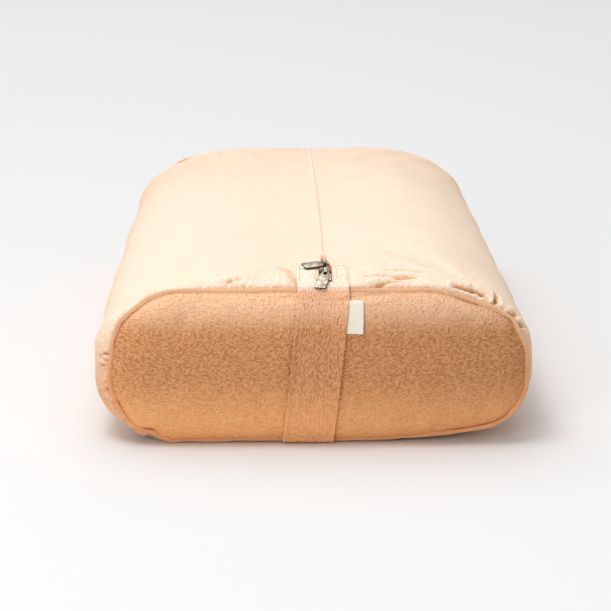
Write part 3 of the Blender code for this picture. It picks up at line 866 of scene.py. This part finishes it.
def halfGapAt(fromFront):
    # how far each lip stands from the middle of the zip
    wide = 1 - ramp(fromFront, zipLook["openFull"], zipLook["openEnds"])
    gap = zipLook["halfGap"] + (zipLook["openHalfGap"] - zipLook["halfGap"]) * wide ** 1.4
    parted = ramp(fromFront, 1 * mm, zipLook["frontEnd"])
    parted *= ramp(cover["length"] - fromFront, zipLook["rearEnd"] - 4 * mm, zipLook["rearEnd"])
    return zipLook["shutHalfGap"] + (gap - zipLook["shutHalfGap"]) * parted


# painted light and shade: the cloth is drawn paler high up, where the lamps reach, and keeps its deep colour low on
# the sides, in the creases, to the right, to the rear, between the lips and at the seam, where shade falls
paintedLightAndShade = {
    "heights": (25 * mm, 108 * mm),
    "creases": (0.9, 0.1 * mm, 1.1 * mm),  # how much of the painted light the creases lose, from what depth, and at what depth in full
    "right": (0.12, 60 * mm, 150 * mm),
    "rear": (0.25, 0, 0.3),
    "lips": (0.6 * mm, 2.2 * mm),
    "seam": (0.4 * mm, 2.4 * mm),
    "deepest": 0.8,
    "deep": (0.7 * mm, 2.6 * mm),
}


def shapeBody(points, cloth):
    around, along = cloth[:, 0], cloth[:, 1]
    fromSeam = np.minimum(along, cover["length"] - along)
    fromLip = np.minimum(around, cover["around"] - around)
    atFront = along < cover["length"] / 2
    away = outwardFrom(points)
    still = ramp(fromLip, *sewing["stillLips"])
    moved = sewing["lumps"] * noiseAt(points, sewing["lumpLength"], 5)
    for distances, zone in zip((fromSeam, points[:, 2], fromLip, fromZip(points)), sewing["lumpZones"]):
        moved *= ramp(distances, *zone)
    spread = np.column_stack((around, along * 0.3, np.where(atFront, 0.0, 1.0)))
    creased = noiseAt(spread, sewing["gatherLength"], 7) * gatherStrength(points)
    creased *= np.where(atFront, *sewing["gatherMore"])
    creased *= np.exp(-fromSeam / sewing["gatherReach"]) * ramp(fromSeam, 0.4 * mm, 2.5 * mm) * still
    moved += sewing["roll"] * np.exp(-((fromSeam - sewing["rollAt"]) / sewing["rollWidth"]) ** 2)
    moved -= sewing["grooveDepth"] * seamOpen(points) * np.exp(-fromSeam / sewing["grooveReach"])
    seamRow = atFront & (along < 2 * mm)
    seamPlaces, seamAround = points[seamRow][:, [0, 2]], around[seamRow]
    flat = np.column_stack((around, along))

    def behindSeam(x, z, back):
        # where this place on the seam lies on the flat cloth, and so far behind it
        nearest = np.argmin(np.linalg.norm(seamPlaces - (x * mm, z * mm), axis=1))
        return np.array((seamAround[nearest], back * mm))

    for x, z, back, aside, depth, halfWidth in seamFolds:
        start = behindSeam(x, z, 0)
        distance, share = toSegment(flat, start, start + (aside * mm, back * mm))
        fold = foldAt(distance, depth, halfWidth) * (1 - share ** 2) * ramp(fromSeam, -1 * mm, 2 * mm)
        creased += fold * atFront * still
    for x0, z0, back0, x1, z1, back1, depth, halfWidth in bodyFolds:
        distance, share = toSegment(flat, behindSeam(x0, z0, back0), behindSeam(x1, z1, back1))
        creased += foldAt(distance, depth, halfWidth) * np.sin(np.pi * (0.15 + 0.7 * share)) * atFront
    lapX, lapBack = [np.where(atFront, lapPress["front"][i], lapPress["rear"][i]) for i in (0, 1)]
    inLap = 1 - ramp(np.abs(points[:, 0] - lapX), lapPress["half"], lapPress["half"] + lapPress["soft"])
    inLap *= 1 - ramp(fromSeam - lapBack, 0, lapPress["soft"])
    inLap *= ramp(fromSeam, 1 * mm, 6 * mm)
    moved -= lapPress["depth"] * inLap * (points[:, 2] > topFrom) * ramp(fromLip, 1 * mm, 5 * mm)
    points[:, [0, 2]] += away * (moved + creased)[:, None]
    # painted light, paler high up, with painted shade in the creases, to the right, to the rear, at the lips and at
    # the seam; the deepest creases also take a painted dark shade
    sunned = ramp(points[:, 2], *paintedLightAndShade["heights"])
    for key, distances in (("creases", -creased), ("right", points[:, 0]), ("rear", points[:, 1])):
        loss, begins, full = paintedLightAndShade[key]
        sunned *= 1 - loss * ramp(distances, begins, full)
    sunned *= ramp(fromLip, *paintedLightAndShade["lips"]) * ramp(fromSeam, *paintedLightAndShade["seam"])
    waverSeam(points, away, fromSeam)
    side = np.where(around < cover["around"] / 2, 1, -1)
    points[:, 0] += side * halfGapAt(along) * np.exp(-(fromLip / zipLook["lipReach"]) ** 2)
    points[:, 2] = np.maximum(points[:, 2], 0)
    # the sliders' upper plates run just under the lips
    overPlate = (fromLip < 5 * mm) & (fromSeam > cover["shoulder"])
    points[overPlate, 2] = np.maximum(points[overPlate, 2], cover["body"]["top"] - cover["lipDepth"])
    return sunned, paintedLightAndShade["deepest"] * ramp(-creased, *paintedLightAndShade["deep"])


def shapePanel(points, end, seamLine):
    fromRim = distanceTo(seamLine, points)
    away = outwardFrom(points)
    pull = sewing["rimPull"] * seamOpen(points) * np.exp(-fromRim / sewing["rimPullReach"])
    points[:, [0, 2]] -= away * pull[:, None]
    reach = sewing["rimRoundReach"] + sewing["footRoundMore"] * (1 - ramp(points[:, 2], 4 * mm, 45 * mm))
    out = sewing["rimRound"] * (1 - np.exp(-fromRim / reach)) - sewing["rimBack"]
    out += sewing["panelLumps"] * noiseAt(points, sewing["panelLumpLength"], 8) * ramp(fromRim, 2 * mm, 25 * mm)
    gathers = noiseAt(points * (1, 0, 1), sewing["gatherLength"] * 1.2, 3) * gatherStrength(points)
    out += gathers * np.exp(-fromRim / sewing["panelGatherReach"]) * ramp(fromRim, 0.5 * mm, 2 * mm)
    if end < 0:
        flat = points[:, [0, 2]]
        for x0, z0, x1, z1, depth, halfWidth in panelFolds:
            distance, share = toSegment(flat, np.array((x0, z0)) * mm, np.array((x1, z1)) * mm)
            out += foldAt(distance, depth, halfWidth) * np.sin(np.pi * (0.12 + 0.76 * share))
    points[:, 1] += end * out
    waverSeam(points, away, fromRim)
    points[:, 2] = np.maximum(points[:, 2], 0.2 * mm)


giveWall(bodyPiece)
for zone, above in (("gatherZone", -1.0), ("pleatZone", 6 * mm)):
    centres = faceCentres(bodyPiece)
    refine(bodyPiece, (np.abs(centres[:, 1]) > cover["length"] / 2 - sewing[zone]) & (centres[:, 2] > above))
shaped = readPoints(bodyPiece)
sunned, creased = shapeBody(shaped, readCloth(bodyPiece))
finishCloth(bodyPiece, shaped)
setShares(bodyPiece, "POINT", sunned=sunned, creased=creased)

seamLine = evenPoints(rimPath(cover["seam"]), np.linspace(0, 1, 2400))
for end, panelPiece in panelPieces.items():
    giveWall(panelPiece)
    refine(panelPiece, np.ones(len(panelPiece.data.polygons), dtype=bool))
    shaped = readPoints(panelPiece)
    shapePanel(shaped, end, seamLine)
    finishCloth(panelPiece, shaped)
bodyTree = treeOf(bodyPiece)
panelTrees = {end: treeOf(panelPiece) for end, panelPiece in panelPieces.items()}
print("cover sewn:", len(bodyPiece.data.polygons), "faces on the body")


# seam edges: the seam allowance, rolled into a thin ridge outside the groove

edgeLook = {
    "radius": 0.95 * mm,
    "thinner": 0.3,
    "points": 400,
    "stands": 0.8 * mm,
    "rise": 1.3 * mm,
    "riseLength": 30 * mm,
    "underStrap": 2.0 * mm,
    "strapHalf": 19.5 * mm,
    "underFoot": 1.6 * mm,
    "innerStretch": 2.2,
}


def seamEdge(name, end, strapX, node):
    selectNone()
    bpy.ops.mesh.primitive_circle_add(vertices=edgeLook["points"], radius=0.1)
    piece = bpy.context.object
    piece.name = name
    ring = evenPoints(seamLine, np.arange(edgeLook["points"]) / edgeLook["points"])
    points = np.column_stack((ring[:, 0], np.full(len(ring), end * cover["seamPlane"]), ring[:, 1]))
    away = outwardFrom(points)
    waverSeam(points, away, np.zeros(len(points)))
    rise = edgeLook["stands"] + edgeLook["rise"] * np.clip(noiseAt(points, edgeLook["riseLength"], 4), -0.35, 1)
    underStrap = np.exp(-((points[:, 0] - strapX) / edgeLook["strapHalf"]) ** 12) * (points[:, 2] > topFrom)
    rise -= edgeLook["underStrap"] * underStrap
    rise -= edgeLook["underFoot"] * (1 - ramp(points[:, 2], 3 * mm, 9 * mm))
    points[:, [0, 2]] += away * rise[:, None]
    points[:, 2] = np.maximum(points[:, 2], edgeLook["radius"] + 0.1 * mm)
    writePoints(piece, points)
    bpy.ops.object.convert(target="CURVE")
    piece = bpy.context.object
    # the curve has its own order of points
    line = np.array([point.co[:3] for point in piece.data.splines[0].points])
    for point, more in zip(piece.data.splines[0].points, noiseAt(line, 9 * mm, 6)):
        point.radius = 1 + edgeLook["thinner"] * 2 * more
    piece.data.bevel_depth = edgeLook["radius"]
    piece.data.bevel_resolution = 2
    bpy.ops.object.convert(target="MESH")
    piece = bpy.context.object
    # its inner side reaches down between the two cloths
    tube = readPoints(piece)
    around = len(tube) // len(line)
    centres = np.repeat(line, around, axis=0)
    outward = outwardFrom(centres)
    depth = np.sum((tube - centres)[:, [0, 2]] * outward, axis=1)
    tube[:, [0, 2]] += outward * (np.minimum(depth, 0) * edgeLook["innerStretch"])[:, None]
    tube[:, 2] = np.maximum(tube[:, 2], 0.1 * mm)
    writePoints(piece, tube)
    piece.data.shade_smooth()
    placeOnBody(piece, "cover", "welt_cotton", edgeMaterial, node)


# carry straps: a folded band of the cover's cotton, lapped over the seam and notched round the zip

strapLook = {
    "width": 37 * mm,
    "thick": 1.0 * mm,
    "off": 0.15 * mm,
    "panelOff": 0.75 * mm,
    "bridge": 7.5 * mm,
    "edgeRound": 0.4 * mm,
    "edgeFold": 0.7 * mm,
    "edgeFoldFrom": 3.2 * mm,
    "edgeFoldFull": 1.8 * mm,
    "frontTopX": 6.2 * mm,
    "frontFootX": -4.5 * mm,
    "lap": {-1: 37 * mm, 1: 19 * mm},  # front end, rear end
    "lapRows": 24,
    "turnFrom": 8 * mm,
    "turnRows": 12,
    "turnHeight": 0.1146,
    "panelTop": 0.1075,
    "panelRows": 64,
    "panelFoot": 6 * mm,
    "footRows": 5,
    "footZ": 1.6 * mm,
    "columns": 24,
    "notchHalf": 6.4 * mm,
    "notchFrom": 6.5 * mm,
}


def topAt(x, y):
    # height of the cover's top under this place
    return bodyTree.ray_cast(Vector((x, y, farUp)), Vector((0, 0, -1)))[0].z


def panelAt(end, x, z):
    # how far out the end panel stands at this place
    return abs(panelTrees[end].ray_cast(Vector((x, end * farOut, z)), Vector((0, -end, 0)))[0].y)


def besideSlot(x):
    # the strap bridges the front of the zip, so its height there is taken from beside the lips
    off = x - cover["zipX"]
    return cover["zipX"] + math.copysign(max(abs(off), strapLook["bridge"]), off)


def bendBetween(a, control, b, share):
    return (1 - share) ** 2 * a + 2 * share * (1 - share) * control + share ** 2 * b


def strapSection(end, topX, footX, across):
    # the strap's inner face down one line of it, from its end on top to its foot
    look = strapLook
    x = topX + across
    line = []
    for back in np.linspace(look["lap"][end], look["turnFrom"], look["lapRows"]):
        y = end * (cover["seamPlane"] - back)
        line.append((x, y, topAt(besideSlot(x), y) + look["off"]))
    start = np.array(line[-1])
    first = np.array((x, end * (panelAt(end, x, look["panelTop"]) + look["panelOff"]), look["panelTop"]))
    bend = np.array((x, first[1], look["turnHeight"]))
    for step in range(1, look["turnRows"]):
        line.append(bendBetween(start, bend, first, step / look["turnRows"]))
    half = look["width"] / 2
    folded = look["edgeFold"] * ramp(abs(across), half - look["edgeFoldFrom"], half - look["edgeFoldFull"])
    for share in np.linspace(0, 1, look["panelRows"]):
        z = look["panelTop"] + (look["panelFoot"] - look["panelTop"]) * share
        x = topX + (footX - topX) * share + across
        line.append((x, end * (panelAt(end, x, z) + look["panelOff"] + folded * ramp(share, 0, 0.08)), z))
    start = np.array(line[-1])
    last = np.array((footX + across, end * (cover["seamPlane"] + 0.4 * mm), look["footZ"]))
    bend = np.array((footX + across, start[1], look["footZ"]))
    for step in range(1, look["footRows"] + 1):
        line.append(bendBetween(start, bend, last, step / look["footRows"]))
    return line


def carryStrap(name, end, topX, footX, node):
    look = strapLook
    rows = look["lapRows"] + look["turnRows"] - 1 + look["panelRows"] + look["footRows"]
    piece, grid = flatGrid(name, look["columns"], rows - 1)
    acrossSteps = np.linspace(-0.5, 0.5, look["columns"] + 1) * look["width"]
    lines = np.array([strapSection(end, topX, footX, across) for across in acrossSteps])
    columnOf = np.rint(grid[:, 0] * look["columns"]).astype(int)
    rowOf = np.rint(grid[:, 1] * (rows - 1)).astype(int)
    writePoints(piece, lines[columnOf, rowOf])
    setCloth(piece, np.column_stack((stepsAlong(lines[2])[rowOf] + 0.2, grid[:, 0] * look["width"] + 0.3)))
    turnTowards(piece, 0, end, 0)
    # the end on top is cut out round the zip
    centres = faceCentres(piece)
    inNotch = np.abs(centres[:, 0] - cover["zipX"]) < look["notchHalf"]
    inNotch &= (cover["seamPlane"] - np.abs(centres[:, 1]) > look["notchFrom"]) & (centres[:, 2] > topFrom)
    selectFaces(piece, inNotch)
    bpy.ops.mesh.delete(type="FACE")
    bpy.ops.object.mode_set(mode="OBJECT")
    thicken(piece, look["thick"], 1)
    roundEdges(piece, look["edgeRound"], 50)
    applyModifiers(piece)
    smoothBelow(piece, 60)
    placeOnBody(piece, "cover", "strap_cotton", strapMaterial, node)
    return piece


seamEdge("frontSeamEdge", -1, strapLook["frontTopX"], "front_seam_welt")
seamEdge("rearSeamEdge", 1, cover["zipX"], "rear_seam_welt")
straps = {
    -1: carryStrap("frontCarryStrap", -1, strapLook["frontTopX"], strapLook["frontFootX"], "front_carry_strap"),
    1: carryStrap("rearCarryStrap", 1, cover["zipX"], cover["zipX"], "rear_carry_strap"),
}
strapTrees = {end: treeOf(strap) for end, strap in straps.items()}
print("seam edges rolled, straps sewn on")


# stitching: rows of single stitches, each one modelled once and copied

stitchLook = {
    "length": 2.3 * mm, "pitch": 3.3 * mm, "radius": 0.28 * mm, "endRadius": 0.55, "sunk": 0.08 * mm,
    "margin": 2.5 * mm, "edgeMargin": 1.8 * mm, "lapMargin": 2 * mm, "notchMargin": 1.6 * mm,
    "lapFrom": 5 * mm, "notchFrom": 9 * mm, "footUp": 1.5 * mm,
}


def oneStitch():
    selectNone()
    bpy.ops.mesh.primitive_cylinder_add(vertices=8, radius=stitchLook["radius"], depth=stitchLook["length"])
    stitch = bpy.context.object
    points = readPoints(stitch)
    ends = np.abs(points[:, 2]) > stitchLook["length"] * 0.4
    points[ends, :2] *= stitchLook["endRadius"]
    writePoints(stitch, points)
    refine(stitch, np.ones(len(stitch.data.polygons), dtype=bool))
    points = readPoints(stitch)
    middle = np.abs(points[:, 2]) < stitchLook["length"] * 0.3
    reach = np.linalg.norm(points[middle, :2], axis=1)[:, None]
    points[middle, :2] *= stitchLook["radius"] / np.maximum(reach, 1e-6)
    writePoints(stitch, points)
    return stitch


def stitchRow(name, node, runs):
    # runs is a list of (places, outward directions) along which the stitches lie end to end
    model = oneStitch()
    copies = []
    for places, outward in runs:
        steps = stepsAlong(places)
        for at in np.arange(stitchLook["pitch"] / 2, steps[-1] - stitchLook["length"] / 2, stitchLook["pitch"]):
            centre = Vector(pointsAt(places, steps, at)[0])
            ahead = (Vector(pointsAt(places, steps, at + 0.5 * mm)[0]) - centre).normalized()
            out = Vector(pointsAt(outward, steps, at)[0]).normalized()
            across = out.cross(ahead).normalized()
            turn = Matrix((across, out, ahead)).transposed().to_4x4()
            turn.translation = centre + out * (stitchLook["radius"] - stitchLook["sunk"])
            copy = model.copy()
            copy.data = model.data.copy()
            copy.data.transform(turn)
            bpy.context.scene.collection.objects.link(copy)
            copies.append(copy)
    bpy.data.objects.remove(model)
    selectOnly(*copies)
    bpy.ops.object.join()
    piece = bpy.context.object
    piece.name = name
    piece.data.shade_smooth()
    placeOnBody(piece, "cover", "sewing_thread", threadMaterial, node)


def strapRun(end, starts, direction):
    # where rays from these points meet the strap, and which way it faces there
    hits = [strapTrees[end].ray_cast(Vector(start), Vector(direction)) for start in starts]
    return np.array([hit[0] for hit in hits]), np.array([hit[1] for hit in hits])


def faceRun(end, z, middleX, half):
    # across the strap's face at one height
    spots = np.linspace(middleX - half, middleX + half, 15)
    return strapRun(end, [(x, end * farOut, z) for x in spots], (0, -end, 0))


def lapRun(end, start, finish):
    # along the lap on top, from one (x, distance behind the seam) to another
    spots = np.linspace(start, finish, 15)
    return strapRun(end, [(x, end * (cover["seamPlane"] - back), farUp) for x, back in spots], (0, 0, -1))


def strapStitches(end, word, topX, footX):
    look = stitchLook
    half = strapLook["width"] / 2 - look["margin"]
    nodes = [word + "_strap_top_stitching", word + "_strap_bottom_stitching"]
    topZ, footZ = [sum(corner[2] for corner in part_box(node)) / 2 for node in nodes]
    back = strapLook["lap"][end] - look["lapMargin"]
    runs = [faceRun(end, topZ, topX, half)]
    for side in (-1, 1):
        innerX = cover["zipX"] + side * (strapLook["notchHalf"] + look["notchMargin"])
        outerX = topX + side * (strapLook["width"] / 2 - look["edgeMargin"])
        corners = ((outerX, look["lapFrom"]), (outerX, back), (innerX, back), (innerX, look["notchFrom"]))
        runs += [lapRun(end, start, finish) for start, finish in zip(corners, corners[1:])]
    stitchRow(word + "StrapTopStitches", nodes[0], runs)
    stitchRow(word + "StrapFootStitches", nodes[1], [faceRun(end, footZ + look["footUp"], footX, half)])


strapStitches(-1, "front", strapLook["frontTopX"], strapLook["frontFootX"])
strapStitches(1, "rear", cover["zipX"], cover["zipX"])
print("straps stitched")


# side label: a bare woven tape folded in half, caught under the strap's right edge

labelLook = {
    "columns": 10, "rows": 18, "thick": 0.75 * mm, "off": 0.5 * mm, "curl": 1.6 * mm, "tuck": 0.2 * mm,
    "lean": 0.4 * mm, "lift": 1.5 * mm, "edgeRound": 0.25 * mm, "cloth": (12 * mm, 22 * mm),
    "besideStrap": 2.2 * mm,  # the strap's edge runs this far to the left down the label's length
}
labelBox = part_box("side_label")
labelPiece, labelGrid = flatGrid("bareWovenLabel", labelLook["columns"], labelLook["rows"])
labelTop, labelFoot = labelBox[1][2], labelBox[0][2]
labelRight = labelBox[1][0] - 0.6 * mm
labelPoints = []
for across, up in labelGrid:
    z = labelFoot + labelLook["lift"] + (labelTop - labelFoot) * up
    share = 1 - up
    strapEdge = strapLook["frontTopX"] + strapLook["width"] / 2 - share * labelLook["besideStrap"]
    left = strapEdge - labelLook["tuck"]
    x = left + (labelRight - left) * across - labelLook["lean"] * share
    curl = labelLook["curl"] * (0.35 + 0.65 * share) * across ** 1.6
    labelPoints.append((x, -(panelAt(-1, x, z) + labelLook["off"] + curl), z))
writePoints(labelPiece, np.array(labelPoints))
setCloth(labelPiece, labelGrid * labelLook["cloth"])
turnTowards(labelPiece, 0, -1, 0)
thicken(labelPiece, labelLook["thick"], 1)
roundEdges(labelPiece, labelLook["edgeRound"], 50)
applyModifiers(labelPiece)
smoothBelow(labelPiece, 50)
placeOnBody(labelPiece, "cover", "woven_label", labelMaterial, "side_label")
print("label sewn in")


# zip coils: one turn of nylon, modelled once, copied along each tape and laid on the zip's own line

coilLook = {"pitch": 1.5 * mm, "wire": 0.34 * mm, "lean": 12, "flat": 0.78}


def coilLine(node):
    # middle line of the CAD coil, as (y, z)
    points = readPoints(frame["nodes"][node])
    rows = {}
    for y in np.unique(np.round(points[:, 1], 4)):
        near = points[np.abs(points[:, 1] - y) < 0.6 * mm]
        rows[near[:, 1].mean()] = (near[:, 2].max() + near[:, 2].min()) / 2
    return np.array(sorted(rows.items()))


def zipCoil(name, node, side):
    line = coilLine(node)
    low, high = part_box(node)
    selectNone()
    bpy.ops.mesh.primitive_torus_add(
        major_segments=10, minor_segments=4, major_radius=(high[0] - low[0]) / 2 - coilLook["wire"],
        minor_radius=coilLook["wire"], rotation=(math.radians(90), 0, 0),
    )
    bpy.ops.object.transform_apply(location=False, rotation=True, scale=False)
    piece = bpy.context.object
    piece.name = name
    turnPoints = readPoints(piece)
    turnPoints[:, 2] *= coilLook["flat"]
    turnPoints[:, 1] += turnPoints[:, 0] * side * math.tan(math.radians(coilLook["lean"]))
    writePoints(piece, turnPoints)
    repeat = piece.modifiers.new("Turns", "ARRAY")
    repeat.fit_type = "FIXED_COUNT"
    repeat.count = int((high[1] - low[1]) / coilLook["pitch"]) - 1
    repeat.use_relative_offset = False
    repeat.use_constant_offset = True
    repeat.constant_offset_displace = (0, coilLook["pitch"], 0)
    applyModifiers(piece)
    points = readPoints(piece)
    points[:, 1] += low[1] + coilLook["pitch"]
    points[:, 2] += np.interp(points[:, 1], line[:, 0], line[:, 1])
    points[:, 0] += (low[0] + high[0]) / 2
    writePoints(piece, points)
    piece.data.shade_smooth()
    placeOnBody(piece, "cover", "nylon_coil", coilMaterial, node)


zipCoil("leftZipCoil", "zip_coil_left", -1)
zipCoil("rightZipCoil", "zip_coil_right", 1)
print("zip coils wound")


# behind the rear slider the lips lie together over the zip; towards the sliders they part

closedLips = {
    "front": -0.234,
    "rear": 0.287,
    "half": 3.0 * mm,
    "flatHalf": 1.9 * mm,
    "besideZip": 3.6 * mm,  # where the cover's height is taken
    "columns": 20,
    "rows": 160,
    "stands": 0.22 * mm,
    "sunk": 0.3 * mm,  # its sides go down into the cover
    "crease": 0.55 * mm,
    "creaseHalf": 0.45 * mm,
    "bow": 1.1 * mm,  # the crease bows to the right, and wanders
    "wander": 0.5 * mm,
    "wanderLength": 50 * mm,
    "dip": 3.4 * mm,
    "dipLength": 14 * mm,
    "thick": 0.4 * mm,
    "gathered": 0.01,
}


def zipLips(name):
    look = closedLips
    piece, grid = flatGrid(name, look["columns"], look["rows"])
    share = grid[:, 0]
    off = (share * 2 - 1) * look["half"]
    along = look["front"] + (look["rear"] - look["front"]) * grid[:, 1]
    stations = np.linspace(look["front"], look["rear"], 60)
    beside = [[topAt(cover["zipX"] + side * look["besideZip"], y) for y in stations] for side in (-1, 1)]
    left, right = [np.interp(along, stations, heights) for heights in beside]
    height = left * (1 - share) + right * share
    height += look["stands"] - (look["stands"] + look["sunk"]) * ramp(np.abs(off), look["flatHalf"], look["half"])
    nothing = np.zeros(len(off))
    middle = look["bow"] * np.sin(np.pi * grid[:, 1])
    middle += look["wander"] * noiseAt(np.column_stack((nothing, along, nothing)), look["wanderLength"], 9)
    valley = np.exp(-((off - middle) / look["creaseHalf"]) ** 2)
    height -= look["crease"] * valley
    height -= look["dip"] * (1 - ramp(along, look["front"], look["front"] + look["dipLength"]))
    writePoints(piece, np.column_stack((cover["zipX"] + off, along, height)))
    setCloth(piece, np.column_stack((off, along)))
    turnTowards(piece, 0, 0, 1)
    # painted shade in the crease between the lips: it takes less of the paler colours and some of the dark crease
    # colour
    setShares(piece, "POINT", sunned=1 - 0.45 * valley, creased=0.12 * valley)
    thicken(piece, look["thick"], -1)
    applyModifiers(piece)
    piece.data.shade_smooth()
    placeOnBody(piece, "cover", "cover_cotton", coverMaterial)
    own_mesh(piece)


zipLips("closedZipLips")
print("lips closed over the zip")


# sliders and tabs: the castings, with their edges broken

def castCopy(name, node, body, edgeRound):
    piece = bpy.data.objects.new(name, frame["nodes"][node].data.copy())
    bpy.context.scene.collection.objects.link(piece)
    selectOnly(piece)
    bpy.ops.object.mode_set(mode="EDIT")
    bpy.ops.mesh.select_all(action="SELECT")
    bpy.ops.mesh.remove_doubles(threshold=0.002 * mm)
    bpy.ops.mesh.dissolve_limited(angle_limit=math.radians(1))
    bpy.ops.object.mode_set(mode="OBJECT")
    roundEdges(piece, edgeRound, 35)
    applyModifiers(piece)
    smoothBelow(piece, 40)
    # the side walls, which stand square to the casting's broad faces, take a painted shade
    normals = np.array([face.normal for face in piece.data.polygons])
    areas = np.array([face.area for face in piece.data.polygons])
    broad = np.linalg.eigh(normals.T @ (normals * areas[:, None]))[1][:, -1]
    setShares(piece, "FACE", blackened=1 - ramp(np.abs(normals @ broad), 0.7, 0.9))
    placeOnBody(piece, body, "antique_nickel", metalMaterial, node)


for word in ("front", "rear"):
    castCopy(word + "SliderCasting", word + "_slider", word + "_slider", 0.16 * mm)
for word in ("front", "rear"):
    castCopy(word + "PullTab", word + "_pull_tab", word + "_pull", 0.22 * mm)
print("sliders and tabs cast")


# stage: floor, lamps and world

stageLook = {
    "floor": "#E8E8E8",
    "floorPaintedLight": "#F6F6F6",  # painted light: the floor is drawn paler towards the back of the studio
    "palerFrom": 0.5 - 4,  # the floor's own middle lies 4 m back
    "palerTo": 3.0 - 4,
    "overhead": {"place": (-1.0, 1.7, 4.8), "size": 6.0, "power": 146},
    "key": {"place": (-0.55, -0.6, 2.3), "size": 0.9, "power": 18},
    "fill": {"place": (-1.3, -2.6, 1.0), "size": 1.0, "power": 18},
    "world": 0.47,
}

selectNone()
bpy.ops.mesh.primitive_plane_add(size=24, location=(0, 4, 0))
floor = bpy.context.object
floor.name = "studioFloor"
floorMaterial, addFloor, floorShader, floorPlace = newMaterial("studioFloorWithPaintedLight")
floorSpot = addFloor("SeparateXYZ", {"Vector": floorPlace["Object"]}, "Y")
# painted light: the floor pales towards the back
floorPaintedLight = addFloor(
    "MapRange", {"Value": floorSpot, "From Min": stageLook["palerFrom"], "From Max": stageLook["palerTo"]},
    "Result",
)
floorColours = {"A": linearColour(stageLook["floor"]), "B": linearColour(stageLook["floorPaintedLight"])}
floorTint = addFloor("Mix", {"Factor": floorPaintedLight, **floorColours}, "Result", data_type="RGBA")
feed(floorShader, {"Base Color": floorTint, "Roughness": 0.9})
floor.data.materials.append(floorMaterial)

for lampName in ("overhead", "key", "fill"):
    lamp = stageLook[lampName]
    bpy.ops.object.light_add(type="AREA", location=lamp["place"])
    light = bpy.context.object
    light.name = lampName + "Softbox"
    light.data.size = lamp["size"]
    light.data.energy = lamp["power"]
    aim = Vector((0, 0, 0.05)) - Vector(lamp["place"])
    light.rotation_euler = aim.to_track_quat("-Z", "Y").to_euler()

world = bpy.data.worlds.new("softStudio")
bpy.context.scene.world = world
world.use_nodes = True
feed(world.node_tree.nodes["Background"], {"Color": (1.0, 1.0, 1.0, 1.0), "Strength": stageLook["world"]})
bpy.context.scene.view_settings.view_transform = "Standard"
print("stage lit")


# the cover joins the frame

placeOnBody(bodyPiece, "cover", "cover_cotton", coverMaterial, "cover_body_panel")
for end, node in ((-1, "cover_front_panel"), (1, "cover_rear_panel")):
    placeOnBody(panelPieces[end], "cover", "cover_cotton", panelMaterial, node)
